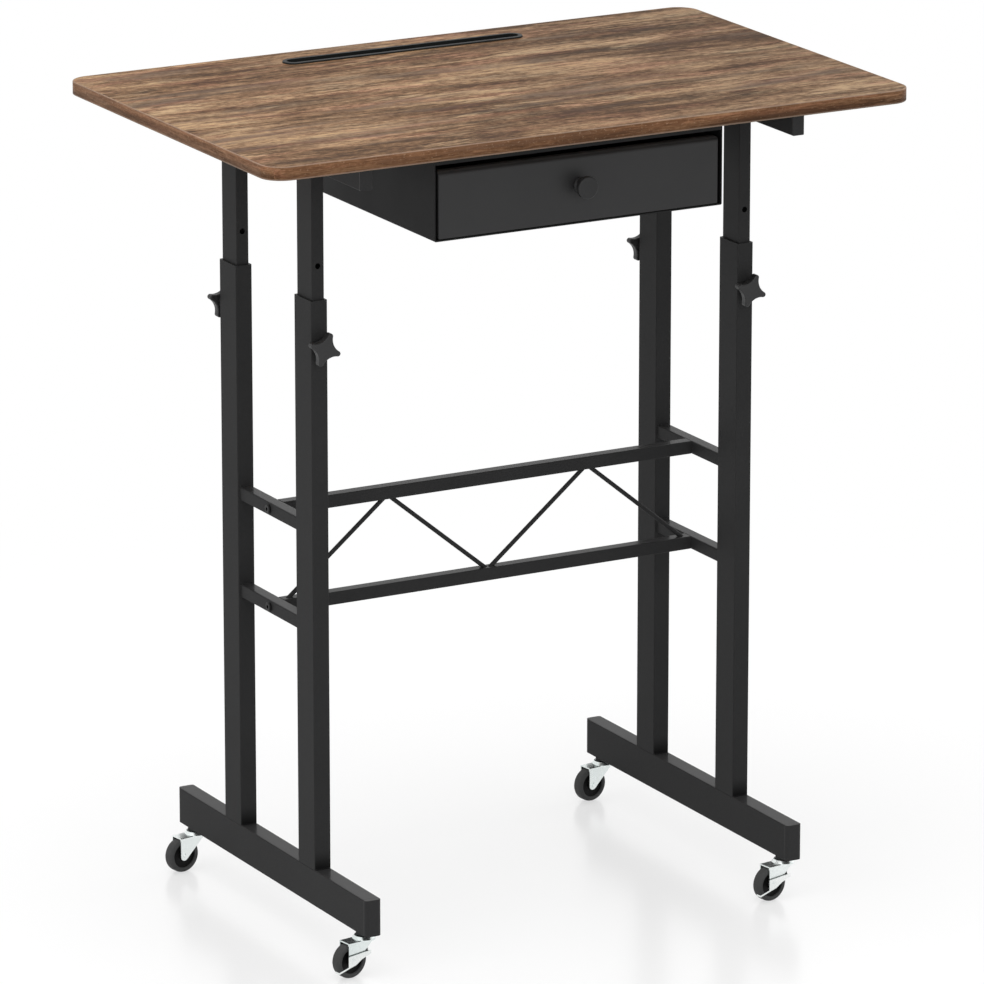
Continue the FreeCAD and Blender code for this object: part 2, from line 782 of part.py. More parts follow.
def make_foot_insert():
    """Threaded block inside the foot that takes the stem."""
    half = foot_width / 2 - outer_wall - insert_fit
    low = foot_bottom + outer_wall
    high = low + foot_insert_height
    block = box(-half, half, -foot_insert_length / 2, foot_insert_length / 2, low, high)
    bore = drill(stem_diameter + 2 * thread_fit, Vector(0, 0, low), Vector(0, 0, high))
    return block.cut(bore)


def in_wheel_plane(points, low, high):
    """Plate from outline points given as (X, Z), between two places across the wheel."""
    corners = [Vector(x, low, z) for x, z in points]
    return Part.Face(Part.makePolygon(corners + corners[:1])).extrude(Vector(0, high - low, 0))


def fork_cheek(low):
    """One side plate of the fork: upright trailing edge, round axle end, slanted leading edge."""
    centre = Vector(-caster_trail - fork_end_back, low, axle_z)
    trailing = centre.x - fork_end_radius
    corner = Vector(fork_front, low, crown_under - fork_front_drop)
    reach = corner - centre
    lean = math.atan2(reach.z, reach.x) - math.acos(fork_end_radius / reach.Length)
    tangent = centre + Vector(math.cos(lean), 0, math.sin(lean)) * fork_end_radius
    middle_angle = (lean - math.pi) / 2
    middle = centre + Vector(math.cos(middle_angle), 0, math.sin(middle_angle)) * fork_end_radius
    start = Vector(trailing, low, axle_z)
    edges = [
        Part.LineSegment(Vector(trailing, low, crown_top), start).toShape(),
        Part.Arc(start, middle, tangent).toShape(),
        Part.LineSegment(tangent, corner).toShape(),
        Part.LineSegment(corner, Vector(fork_front, low, crown_top)).toShape(),
        Part.LineSegment(Vector(fork_front, low, crown_top), Vector(trailing, low, crown_top)).toShape(),
    ]
    return Part.Face(Part.Wire(edges)).extrude(Vector(0, fork_sheet, 0))


def pedal_pivot():
    """X and Z of the brake pedal's pivot in the caster's frame."""
    return -caster_trail - pedal_pivot_back, axle_z + pedal_pivot_rise


def make_fork(braked):
    """Stamped fork with its round swivel dish and, on a braked caster, two pivot pips."""
    trailing = -caster_trail - fork_end_back - fork_end_radius
    crown = box(trailing, fork_front, -fork_outer, fork_outer, crown_under, crown_top)
    fork = crown.fuse([fork_cheek(-fork_outer), fork_cheek(fork_inner)]).removeSplitter()
    sides = [e for e in edges_at(fork, crown_top) if e.BoundBox.XLength > caster_trail]
    fork = fork.makeFillet(fork_edge_round, sides)
    flange = rod(swivel_base_diameter, Vector(0, 0, crown_under), Vector(0, 0, crown_top))
    dish = Part.makeCone(swivel_base_diameter / 2, swivel_top_diameter / 2, swivel_height)
    fork = fork.fuse([flange, dish.translated(Vector(0, 0, crown_top))])
    stem_low = Vector(0, 0, crown_under)
    fork = fork.cut(drill(stem_diameter + 2 * stem_fit, stem_low, Vector(0, 0, swivel_top)))
    axle_start = Vector(-caster_trail, -fork_outer, axle_z)
    axle_end = Vector(-caster_trail, fork_outer, axle_z)
    fork = fork.cut(drill(axle_diameter + 2 * thread_fit, axle_start, axle_end))
    if braked:
        x, z = pedal_pivot()
        reach = fork_outer + pedal_side_gap + pedal_sheet
        for way in (-1, 1):
            pip = rod(pedal_pip_diameter, Vector(x, way * fork_outer, z), Vector(x, way * reach, z))
            fork = fork.fuse(pip)
    return fork.removeSplitter()


def make_axle():
    """Riveted axle with a flat head on each side of the fork."""
    pin = rod(axle_diameter, Vector(0, -fork_outer, 0), Vector(0, fork_outer, 0))
    for way in (-1, 1):
        outer = way * (fork_outer + axle_head_height)
        pin = pin.fuse(rod(axle_head_diameter, Vector(0, way * fork_outer, 0), Vector(0, outer, 0)))
    return pin.removeSplitter().translated(Vector(-caster_trail, 0, axle_z))


def make_wheel():
    """One-piece wheel with a rounded tread, a dished web and a hub."""
    bore = axle_diameter / 2 + axle_fit
    hub = wheel_hub_diameter / 2
    rim = wheel_rim_inner_diameter / 2
    tread = wheel_diameter / 2
    web = wheel_web / 2
    side = wheel_width / 2
    slope = wheel_web_slope
    half = [
        (bore, hub_half),
        (hub, hub_half),
        (hub + slope, web),
        (rim - slope, web),
        (rim, side),
        (tread, side),
    ]
    points = [Vector(r, 0, z) for r, z in half] + [Vector(r, 0, -z) for r, z in reversed(half)]
    wheel = Part.Face(Part.makePolygon(points + points[:1])).revolve(Vector(0, 0, 0), Vector(0, 0, 1), 360)
    shoulders = rim_edges(wheel, side, tread) + rim_edges(wheel, -side, tread)
    wheel = wheel.makeFillet(wheel_edge_round, shoulders)
    return along_y(wheel).translated(Vector(-caster_trail, 0, axle_z))


def make_brake_pedal():
    """Stamped pedal: two arms on the fork's pips, a tail strip, and a peaked bridge that meets the tread."""
    near = fork_outer + pedal_side_gap
    far = near + pedal_sheet
    tip = -caster_trail + pedal_tip_forward
    heel = -caster_trail - pedal_heel_back
    tail = -caster_trail - pedal_strip_back
    tip_top = axle_z + pedal_tip_rise
    tip_low = tip_top - pedal_tip_height
    heel_low = (heel, axle_z - pedal_heel_drop)
    strip_top = axle_z - pedal_strip_top_drop
    tail_top = strip_top - pedal_strip_fall
    tail_low = tail_top - pedal_strip_height
    nose = [(tip, tip_top), (heel, axle_z + pedal_heel_rise)]
    strip = [(heel, strip_top), (tail, tail_top), (tail, tail_low)]
    belly = (-caster_trail + pedal_belly_forward, axle_z - pedal_belly_drop)
    neck = (-caster_trail + pedal_neck_forward, axle_z + pedal_neck_rise)
    under = [heel_low, belly, neck, (tip, tip_low)]
    front_arm = in_wheel_plane(nose + strip + under, -far, -near)
    back_arm = in_wheel_plane(nose + under, near, far)
    hook = box(tail, tail + pedal_sheet, -far, -far + pedal_hook_length, tail_low, tail_top)
    sill = axle_z + pedal_sill_rise
    shoulder = tip_top - pedal_shoulder_drop
    peak = axle_z + pedal_peak_rise
    root_y = fork_inner - pedal_peak_side_gap
    peak_y = pedal_peak_width / 2
    half = [(root_y, sill), (far, tip_low), (far, shoulder), (root_y, shoulder), (peak_y, peak)]
    outline = half + [(-y, z) for y, z in reversed(half)]
    corners = [Vector(tip - pedal_sheet, y, z) for y, z in outline]
    bridge = Part.Face(Part.makePolygon(corners + corners[:1])).extrude(Vector(pedal_sheet, 0, 0))
    pedal = front_arm.fuse([back_arm, hook, bridge]).removeSplitter()
    x, z = pedal_pivot()
    return pedal.cut(drill(pedal_pip_diameter + 2 * pedal_pip_fit, Vector(x, -far, z), Vector(x, far, z)))


os.makedirs("parts", exist_ok=True)

# Lower frame
for side, sign in SIDES.items():
    save(side + "_foot", [make_foot(sign)])
    save("upper_side_rail_" + side, [make_side_rail(sign, upper_rail_top)])
    save("lower_side_rail_" + side, [make_side_rail(sign, lower_rail_top)])
foot_middle = foot_bottom + foot_height / 2
foot_cap = end_cap(foot_width, foot_height, outer_wall, outer_corner, foot_cap_plate, foot_cap_round)
save("foot_end_caps", make_end_caps(foot_cap, foot_length / 2 - foot_cap_plate, foot_middle))
save("upper_long_rail", [make_long_rail(upper_rail_top)])
save("lower_long_rail", [make_long_rail(lower_rail_top)])
save("brace_rods", make_brace_rods())
levels = [(sign, top) for sign in SIDES.values() for top in (upper_rail_top, lower_rail_top)]
save("rail_bolts", [make_rail_bolt(sign, top) for sign, top in levels])
save("rail_end_inserts", [make_rail_insert(sign, top) for sign, top in levels])

# Legs and height locks
for name, x, y, way in leg_places():
    save("outer_leg_" + name, [make_outer_leg(x, y, way)])
    save("inner_leg_" + name, [make_inner_leg(x, y)])
    save("clamp_stud_" + name, [make_clamp_stud(x, y, way)])
    save("star_knob_" + name, [make_star_knob(x, y, way)])
save("leg_guide_bushes", [make_guide_bush(x, y) for _, x, y, _ in leg_places()])
save("clamp_nuts", [make_clamp_nut(x, y, way) for _, x, y, way in leg_places()])

# Tabletop and the rails under it
save("tabletop", [make_tabletop()])
save("edge_banding", [make_edge_band()])
save("slot_liner", [make_slot_liner()])
for side, sign in SIDES.items():
    save("top_rail_" + side, [make_top_rail(sign)])
    save("drawer_case_" + side, [make_case_side(sign)])
rail_middle = top_rail_bottom + top_rail_height / 2
rail_cap = end_cap(
    top_rail_width, top_rail_height, top_rail_wall, top_rail_corner, rail_cap_plate, rail_cap_round
)
save("top_rail_end_caps", make_end_caps(rail_cap, top_rail_length / 2 - rail_cap_plate, rail_middle))
save("underside_screws", make_screws())
save("drawer_case_cross_sheets", make_case_cross_sheets())

# Drawer
save("drawer_front", [make_drawer_front()])
save("drawer_tray", [make_drawer_tray()])
save("drawer_knob", [make_drawer_knob()])
save("drawer_knob_screw", [make_knob_screw()])

# Casters
stem = make_stem()
fixings = [make_lock_nut(), make_foot_insert()]
axle = make_axle()
wheel = make_wheel()
pedal = make_brake_pedal()
forks = {-1: make_fork(True), 1: make_fork(False)}
stems = []
nuts = []
for name, x, y, way in caster_places():
    stems.append(stem.translated(Vector(x, y, 0)))
    nuts.extend(piece.translated(Vector(x, y, 0)) for piece in fixings)
    save("caster_fork_" + name, [place_caster(forks[way], x, y)])
    save("caster_axle_" + name, [place_caster(axle, x, y)])
    save("caster_wheel_" + name, [place_caster(wheel, x, y)])
    if way < 0:
        save("brake_pedal_" + name, [place_caster(pedal, x, y)])
save("caster_stems", stems)
save("caster_lock_nuts", nuts)
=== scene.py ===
# %% [markdown]
# # A rolling sit-stand desk
# The desk's solids come in as a finished frame: tubes, sheet parts, casters and a wood-look board, each at
# its real size. This lesson dresses them. Pieces whose looks depend on soft forms, such as the wheels, the
# lock nuts and the threads, are modelled again here by hand tools, and every surface gets a finish.

import json
import math

import bpy
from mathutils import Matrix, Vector


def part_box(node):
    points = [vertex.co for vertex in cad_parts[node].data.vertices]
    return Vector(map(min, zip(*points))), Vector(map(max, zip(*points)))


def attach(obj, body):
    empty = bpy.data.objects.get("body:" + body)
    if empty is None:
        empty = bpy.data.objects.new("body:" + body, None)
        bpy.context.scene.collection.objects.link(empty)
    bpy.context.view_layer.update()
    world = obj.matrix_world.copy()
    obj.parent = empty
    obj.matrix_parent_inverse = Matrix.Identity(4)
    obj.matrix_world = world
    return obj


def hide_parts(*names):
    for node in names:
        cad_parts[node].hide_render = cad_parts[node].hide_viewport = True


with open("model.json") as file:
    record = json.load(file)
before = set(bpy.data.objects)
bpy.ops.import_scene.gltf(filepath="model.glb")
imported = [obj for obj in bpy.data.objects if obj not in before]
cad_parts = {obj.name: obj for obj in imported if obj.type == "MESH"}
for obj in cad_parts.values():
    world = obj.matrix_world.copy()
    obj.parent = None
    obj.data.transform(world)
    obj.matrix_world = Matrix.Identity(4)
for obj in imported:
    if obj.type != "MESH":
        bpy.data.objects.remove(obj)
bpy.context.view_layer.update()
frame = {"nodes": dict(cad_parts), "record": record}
print("solids in the frame:", len(frame["nodes"]))

# %% [markdown]
# ## Working by hand, in code
# An operator acts on whatever is selected, so each piece starts from an empty selection. Faces are then
# picked by the direction they look in or by where they are, much as one would click them. Their numbers would
# be shorter to write, but those change with every cut.

# %% Selection helpers
MM = 0.001


def clear_selection():
    if bpy.context.mode != "OBJECT":
        bpy.ops.object.mode_set(mode="OBJECT")
    bpy.ops.object.select_all(action="DESELECT")


def select_only(obj):
    clear_selection()
    obj.select_set(True)
    bpy.context.view_layer.objects.active = obj


def start_picking(obj, kind):
    """Goes into edit mode with nothing selected, then back to object mode, where picks are marked."""
    bpy.context.view_layer.objects.active = obj
    bpy.ops.object.mode_set(mode="EDIT")
    bpy.ops.mesh.select_mode(type=kind)
    bpy.ops.mesh.select_all(action="DESELECT")
    bpy.ops.object.mode_set(mode="OBJECT")


def pick_faces(obj, wanted):
    """Leaves obj in edit mode with the faces selected for which wanted(centre, normal) is true."""
    start_picking(obj, "FACE")
    for face in obj.data.polygons:
        face.select = wanted(face.center, face.normal)
    bpy.ops.object.mode_set(mode="EDIT")


def pick_edges(obj, wanted):
    """Leaves obj in edit mode with the edges selected for which wanted(one end, other end) is true."""
    start_picking(obj, "EDGE")
    points = obj.data.vertices
    for edge in obj.data.edges:
        edge.select = wanted(points[edge.vertices[0]].co, points[edge.vertices[1]].co)
    bpy.ops.object.mode_set(mode="EDIT")


# %% [markdown]
# A shaped piece is finished in the same few steps each time: modifiers are applied, its place goes into its
# mesh, and shallow edges are smoothed. A live modifier would do as well on screen, but an applied one gives the
# same mesh wherever the piece goes.

# %% Finishing helpers
def settle(obj, smooth=40):
    """Leaves edit mode, applies the object's place to its mesh and smooths shallow edges."""
    select_only(obj)
    bpy.ops.object.transform_apply(location=True, rotation=True, scale=True)
    bpy.ops.object.shade_smooth_by_angle(angle=math.radians(smooth))
    clear_selection()
    return obj


def apply_modifier(obj, name, kind, **settings):
    """Adds a modifier with these settings and applies it at once."""
    select_only(obj)
    modifier = obj.modifiers.new(name, kind)
    for key, value in settings.items():
        setattr(modifier, key, value)
    bpy.ops.object.modifier_apply(modifier=modifier.name)


def add_bevel(obj, width, segments, angle):
    """Rounds the edges of a piece that are sharper than the angle."""
    apply_modifier(obj, "soft_edges", "BEVEL", width=width, segments=segments, limit_method="ANGLE",
                   angle_limit=math.radians(angle))


def copy_of(obj, name):
    """A second piece with a mesh of its own."""
    twin = obj.copy()
    twin.data = obj.data.copy()
    twin.name = name
    twin.data.name = name
    bpy.context.collection.objects.link(twin)
    return twin


# %% [markdown]
# ## Shared surface effects
# Coatings differ in colour but share the same small irregularities. These could be drawn again in every
# material, but then each change has to be made many times. So an effect is a node group with named sockets,
# built once and placed in every material that needs it.

# %% A builder for node groups
def new_effect(name, inputs, outputs):
    tree = bpy.data.node_groups.new(name, "ShaderNodeTree")
    for label, kind, value in inputs:
        socket = tree.interface.new_socket(label, in_out="INPUT", socket_type=kind)
        if value is not None:
            socket.default_value = value
    for label, kind in outputs:
        tree.interface.new_socket(label, in_out="OUTPUT", socket_type=kind)
    return tree, tree.nodes.new("NodeGroupInput"), tree.nodes.new("NodeGroupOutput")


def node(tree, kind, **values):
    """Adds a node and sets its named properties or input sockets."""
    made = tree.nodes.new(kind)
    for key, value in values.items():
        if hasattr(made, key):
            setattr(made, key, value)
        else:
            made.inputs[key.replace("_", " ")].default_value = value
    return made


# %% [markdown]
# Most nodes do one of a few small jobs: a sum, a smooth step, a mix of two colours. Each job gets a helper that
# takes sockets or plain values, so that a chain of nodes reads like a row of sums.

# %% Helpers for single nodes
def maths(tree, operation, first, second, clamp=False):
    """A Math node fed by sockets or plain numbers."""
    made = tree.nodes.new("ShaderNodeMath")
    made.operation = operation
    made.use_clamp = clamp
    for slot, value in zip(made.inputs, (first, second)):
        if isinstance(value, (int, float)):
            slot.default_value = value
        else:
            tree.links.new(value, slot)
    return made.outputs[0]


def remap(tree, value, low, high, to_low=0.0, to_high=1.0):
    """A smooth step from low to high."""
    made = node(tree, "ShaderNodeMapRange")
    made.interpolation_type = "SMOOTHSTEP"
    for name, number in zip(("From Min", "From Max", "To Min", "To Max"), (low, high, to_low, to_high)):
        made.inputs[name].default_value = number
    tree.links.new(value, made.inputs["Value"])
    return made.outputs[0]


def mix_colour(tree, factor, first, second, blend="MIX"):
    """A colour Mix node fed by sockets or plain colours."""
    made = tree.nodes.new("ShaderNodeMix")
    made.data_type = "RGBA"
    made.blend_type = blend
    for slot, value in ((made.inputs[0], factor), (made.inputs[6], first), (made.inputs[7], second)):
        if isinstance(value, (int, float)):
            slot.default_value = value
        elif isinstance(value, tuple):
            slot.default_value = (*value, 1.0)
        else:
            tree.links.new(value, slot)
    return made.outputs[2]


def split(tree, vector):
    """The X, Y and Z sockets of a vector."""
    made = node(tree, "ShaderNodeSeparateXYZ")
    tree.links.new(vector, made.inputs[0])
    return made.outputs


def surface_normal(tree):
    return split(tree, node(tree, "ShaderNodeNewGeometry").outputs["Normal"])


def grey(tree, value):
    """A colour whose three channels are one value."""
    made = node(tree, "ShaderNodeCombineColor")
    for channel in made.inputs:
        tree.links.new(value, channel)
    return made.outputs[0]


# %% [markdown]
# Grain, dust and chips are all noise. A Mapping node in front of the texture packs it more tightly along one
# axis than along another, which draws it out into streaks.

# %% Stretched noise
def stretched_noise(tree, vector, scale, detail, roughness, distortion=0.0, shift=(0, 0, 0)):
    mapping = node(tree, "ShaderNodeMapping", Scale=scale, Location=shift)
    tree.links.new(vector, mapping.inputs["Vector"])
    noise = node(tree, "ShaderNodeTexNoise", Scale=1.0, Detail=detail, Roughness=roughness,
                 Distortion=distortion)
    tree.links.new(mapping.outputs[0], noise.inputs["Vector"])
    return noise.outputs[0]


# %% [markdown]
# ### Coating grit
# Powder coat, moulded plastic and rubber are never quite even: there is a fine pebble in the surface and a
# slow drift in tone. The group gives both as values, and each material decides how much it wants.

# %% The grit group
LUMP_SHARE = 0.35
grit, grit_in, grit_out = new_effect(
    "coating_grit",
    [("Vector", "NodeSocketVector", None), ("Pebbles per metre", "NodeSocketFloat", 900.0),
     ("Drift per metre", "NodeSocketFloat", 9.0)],
    [("Pebble", "NodeSocketFloat"), ("Drift", "NodeSocketFloat"), ("Height", "NodeSocketFloat")],
)
unevenness = {}
for label, density, detail, roughness in (("Pebble", "Pebbles per metre", 2.0, 0.5),
                                          ("Drift", "Drift per metre", 3.0, 0.6)):
    noise = node(grit, "ShaderNodeTexNoise", Detail=detail, Roughness=roughness)
    grit.links.new(grit_in.outputs["Vector"], noise.inputs["Vector"])
    grit.links.new(grit_in.outputs[density], noise.inputs["Scale"])
    grit.links.new(noise.outputs[0], grit_out.inputs[label])
    unevenness[label] = noise.outputs[0]
lump = maths(grit, "MULTIPLY", unevenness["Drift"], LUMP_SHARE)
grit.links.new(maths(grit, "ADD", unevenness["Pebble"], lump), grit_out.inputs["Height"])
print("group made:", grit.name)

# %% [markdown]
# ### Settled dust and painted top light
# A trace of dust lies on what faces up. Where the amount is large, the same pale grey is painted light from
# above on upward faces. It could be painted on by hand, but the surface's own upward lean and some noise give a
# mask that fits every piece.

# %% The dust and top light group
LEANING, LEVEL = 0.6, 1.0
dust_and_light, dust_and_light_in, dust_and_light_out = new_effect(
    "settled_dust_and_top_light",
    [("Vector", "NodeSocketVector", None), ("Amount", "NodeSocketFloat", 0.3)],
    [("Mask", "NodeSocketFloat")],
)
upward = remap(dust_and_light, surface_normal(dust_and_light)["Z"], LEANING, LEVEL)
specks = stretched_noise(dust_and_light, dust_and_light_in.outputs["Vector"], (60, 60, 60), 4.0, 0.65)
specks = remap(dust_and_light, specks, 0.3, 0.8, 0.7, 1.0)
mask = maths(dust_and_light, "MULTIPLY", maths(dust_and_light, "MULTIPLY", upward, specks), dust_and_light_in.outputs["Amount"], True)
dust_and_light.links.new(mask, dust_and_light_out.inputs["Mask"])
print("group made:", dust_and_light.name)

# %% [markdown]
# ### Rustic wood
# The board is a printed wood look: long streaks along the desk, golden and dark patches with ragged ends, and
# fine pores. All of it is noise stretched along X, with a slow warp so that the streaks wander. A plain wave
# texture would give even stripes, which read as new timber and not as worn planks.

# %% The wood group: wandering grain
MIDDLE = 0.5
SWAY = 0.016
wood, wood_in, wood_out = new_effect(
    "rustic_wood",
    [("Vector", "NodeSocketVector", None)],
    [("Color", "NodeSocketColor"), ("Height", "NodeSocketFloat"), ("Gloss", "NodeSocketFloat")],
)


def spread(value, gain):
    """Noise moved to both sides of zero and made stronger or weaker."""
    return maths(wood, "MULTIPLY", maths(wood, "SUBTRACT", value, MIDDLE), gain)


warp = stretched_noise(wood, wood_in.outputs["Vector"], (3.4, 11.0, 11.0), 3.0, 0.5)
sway = spread(warp, SWAY)
offset = node(wood, "ShaderNodeCombineXYZ")
wood.links.new(sway, offset.inputs["Y"])
wood.links.new(sway, offset.inputs["Z"])
bent = node(wood, "ShaderNodeVectorMath", operation="ADD")
wood.links.new(wood_in.outputs["Vector"], bent.inputs[0])
wood.links.new(offset.outputs[0], bent.inputs[1])
grain = bent.outputs[0]
print("grain sways by", SWAY / MM / 2, "mm to each side at most")

# %% [markdown]
# Three scales of streak and a fine mottle are added up. Noise crowds round its middle value, so each one is
# spread out before it reaches the colour ramp; otherwise the board turns to one even brown.

# %% The wood group: streaks and mottle
def grain_noise(along, across, detail, roughness, distortion=0.0, shift=(0, 0, 0)):
    """Noise with so many features to a metre along the grain and across it."""
    return stretched_noise(wood, grain, (along, across, across), detail, roughness, distortion, shift)


broad = grain_noise(3.4, 22.0, 4.0, 0.58, 0.4)
streak = grain_noise(9.0, 92.0, 5.0, 0.66, 0.5)
hair = grain_noise(52.0, 380.0, 4.0, 0.68)
mottle = grain_noise(120.0, 190.0, 4.0, 0.70)
tone = spread(broad, 1.60)
for layer, gain in ((streak, 1.02), (hair, 0.85), (mottle, 0.80)):
    tone = maths(wood, "ADD", tone, spread(layer, gain))
tone = maths(wood, "ADD", tone, MIDDLE, True)

# %% [markdown]
# The sum runs through a colour ramp, from nearly black brown to straw. The stops keep to one hue, because on
# such a print the light and the dark differ more in brightness than in colour.

# %% The wood group: colour ramp
WOOD_STOPS = [(0.16, (0.070, 0.036, 0.019)), (0.34, (0.128, 0.067, 0.031)), (0.50, (0.215, 0.117, 0.057)),
              (0.66, (0.325, 0.192, 0.096)), (0.86, (0.500, 0.315, 0.162))]
ramp = node(wood, "ShaderNodeValToRGB")
marks = ramp.color_ramp.elements
marks[0].position = WOOD_STOPS[0][0]
marks[1].position = WOOD_STOPS[-1][0]
for position, brown in WOOD_STOPS[1:-1]:
    marks.new(position)
for stop, (position, brown) in zip(marks, WOOD_STOPS):
    stop.position = position
    stop.color = (*brown, 1.0)
wood.links.new(tone, ramp.inputs[0])
print("colour stops:", len(marks))

# %% [markdown]
# Golden patches and smoky dark ones lie over the streaks. Their masks are broken up by the fine noise, so they
# end in ragged tips as worn paint does. A slow cast towards red and towards grey keeps the browns apart.

# %% The wood group: patches and cast
GOLD, SMOKE = (0.62, 0.420, 0.238), (0.088, 0.055, 0.037)
REDDISH, GREYISH = (1.04, 0.92, 0.97), (0.90, 0.98, 1.06)
golden = grain_noise(4.4, 24.0, 5.0, 0.64, 0.6, (3.1, 7.7, 0))
smoky = grain_noise(3.0, 24.0, 5.0, 0.64, 0.6, (9.4, 1.3, 0))
golden = remap(wood, maths(wood, "ADD", golden, spread(hair, 0.36)), 0.56, 0.70)
smoky = remap(wood, maths(wood, "ADD", smoky, spread(hair, 0.40)), 0.52, 0.66)
colour = mix_colour(wood, maths(wood, "MULTIPLY", golden, 0.68), ramp.outputs[0], GOLD)
colour = mix_colour(wood, maths(wood, "MULTIPLY", smoky, 0.75), colour, SMOKE)
cast = grain_noise(7.0, 46.0, 4.0, 0.62, 0.4, (5.2, 3.9, 0))
colour = mix_colour(wood, remap(wood, cast, 0.50, 0.64), colour, REDDISH, "MULTIPLY")
colour = mix_colour(wood, remap(wood, cast, 0.47, 0.35), colour, GREYISH, "MULTIPLY")

# %% [markdown]
# Pores are short dark hairs in the print. The same fine noise darkens the colour and gives the height for a
# faint relief, so that the two lie on top of each other.

# %% The wood group: pores
HAIR_RELIEF = 0.6
pores = grey(wood, remap(wood, hair, 0.30, 0.55, 0.66, 1.08))
wood.links.new(mix_colour(wood, 1.0, colour, pores, "MULTIPLY"), wood_out.inputs["Color"])
relief = maths(wood, "ADD", maths(wood, "MULTIPLY", hair, HAIR_RELIEF), streak)
wood.links.new(relief, wood_out.inputs["Height"])
wood.links.new(remap(wood, tone, 0.25, 0.75, 0.56, 0.44), wood_out.inputs["Gloss"])
print("group made:", wood.name)

# %% [markdown]
# ## Finishes
# A material holds one Principled shader. Numbers that are the same all over are set on its sockets, and the
# groups feed only what changes over the surface.

# %% A builder for coated finishes
DUST_AND_LIGHT_GREY = (0.16, 0.155, 0.15)


def new_material(name, specular):
    material = bpy.data.materials.new(name)
    material.use_nodes = True
    tree = material.node_tree
    shader = tree.nodes["Principled BSDF"]
    shader.inputs["Specular IOR Level"].default_value = specular
    return material, tree, shader, node(tree, "ShaderNodeTexCoord").outputs["Object"]


def use_group(tree, group, vector, **values):
    made = tree.nodes.new("ShaderNodeGroup")
    made.node_tree = group
    tree.links.new(vector, made.inputs["Vector"])
    for key, value in values.items():
        made.inputs[key.replace("_", " ")].default_value = value
    return made


def add_bump(tree, shader, height, strength, depth):
    bump = node(tree, "ShaderNodeBump", Strength=strength, Distance=depth)
    tree.links.new(height, bump.inputs["Height"])
    tree.links.new(bump.outputs[0], shader.inputs["Normal"])


def coated(name, dark, light, rough, pebbles, strength, specular, metallic=0.0, dust_and_light_amount=0.12, depth=0.2 * MM):
    """A coating that drifts between two tones, with a pebbled surface and a trace of dust, which is painted top
    light where it is strong.
    """
    material, tree, shader, vector = new_material(name, specular)
    shader.inputs["Metallic"].default_value = metallic
    surface = use_group(tree, grit, vector, Pebbles_per_metre=pebbles)
    tone = mix_colour(tree, remap(tree, surface.outputs["Drift"], 0.3, 0.7), dark, light)
    speckle = grey(tree, remap(tree, surface.outputs["Pebble"], 0.35, 0.65, 0.9, 1.1))
    tone = mix_colour(tree, 1.0, tone, speckle, "MULTIPLY")
    dust_and_light_cover = use_group(tree, dust_and_light, vector, Amount=dust_and_light_amount)
    tone = mix_colour(tree, dust_and_light_cover.outputs["Mask"], tone, DUST_AND_LIGHT_GREY)
    tree.links.new(tone, shader.inputs["Base Color"])
    polish = remap(tree, surface.outputs["Drift"], 0.3, 0.7, *rough)
    tree.links.new(polish, shader.inputs["Roughness"])
    add_bump(tree, shader, surface.outputs["Height"], strength, depth)
    return material


# %% [markdown]
# ### Black coatings, plastics and rubber
# The tubes and sheets carry a fine satin powder coat. The plastics are a little smoother, and the tyres are a
# dull dark grey. One black for all would be quicker, but side by side these blacks differ, and that is how one
# tells a cap from its tube. The drawer case's coat is darker than the sheet coat as painted shade under the
# board.

# %% Powder coats
finish = {
    "black_tube": coated("black_powder_coat", (0.0315, 0.0315, 0.0319), (0.0355, 0.0355, 0.0359),
                         rough=(0.46, 0.54), pebbles=1400.0, strength=0.10, specular=0.05, dust_and_light_amount=0.03),
    # The sheet coat's large dust amount is mostly painted light: it lightens upward faces, such as the drawer
    # front's rolled top in the shade under the board.
    "black_sheet": coated("black_sheet_coat", (0.0182, 0.0182, 0.0187), (0.0230, 0.0230, 0.0235),
                          rough=(0.44, 0.52), pebbles=1200.0, strength=0.10, specular=0.34, dust_and_light_amount=0.5),
    # Painted shade: the case coat is a darker copy of the sheet coat for the case sides that stand under the
    # board.
    "case_sheet": coated("black_case_coat_shaded", (0.010, 0.010, 0.0103), (0.014, 0.014, 0.0143),
                         rough=(0.55, 0.63), pebbles=1200.0, strength=0.10, specular=0.18),
    "tray_sheet": coated("black_tray_coat", (0.022, 0.022, 0.0225), (0.028, 0.028, 0.0285),
                         rough=(0.45, 0.55), pebbles=1000.0, strength=0.10, specular=0.42, dust_and_light_amount=0.15),
    "pull_black": coated("black_drawer_pull", (0.018, 0.018, 0.0185), (0.024, 0.024, 0.0245),
                         rough=(0.38, 0.46), pebbles=900.0, strength=0.08, specular=0.26),
}
print("powder coats:", len(finish))

# %% [markdown]
# The star knobs, caps and slot rim are moulded, so their grain is coarser. The rubber is the roughest of all.

# %% Plastics and rubber
finish["black_plastic"] = coated(
    "black_cap_plastic", (0.016, 0.016, 0.0165), (0.020, 0.020, 0.0205),
    rough=(0.40, 0.50), pebbles=700.0, strength=0.12, specular=0.24)
finish["knob_plastic"] = coated(
    "black_knob_plastic", (0.020, 0.020, 0.0205), (0.026, 0.026, 0.0265),
    rough=(0.40, 0.48), pebbles=900.0, strength=0.10, specular=0.36)
finish["liner_plastic"] = coated(
    "slot_liner_plastic", (0.010, 0.011, 0.0105), (0.014, 0.015, 0.0145),
    rough=(0.42, 0.52), pebbles=800.0, strength=0.10, specular=0.12, dust_and_light_amount=0.08)
finish["wheel_rubber"] = coated(
    "grey_wheel_rubber", (0.046, 0.047, 0.047), (0.066, 0.067, 0.067),
    rough=(0.60, 0.74), pebbles=1500.0, strength=0.25, specular=0.26)
hub_finish = coated(
    "dark_hub_plastic", (0.005, 0.005, 0.0052), (0.008, 0.008, 0.0083),
    rough=(0.50, 0.60), pebbles=700.0, strength=0.12, specular=0.14)
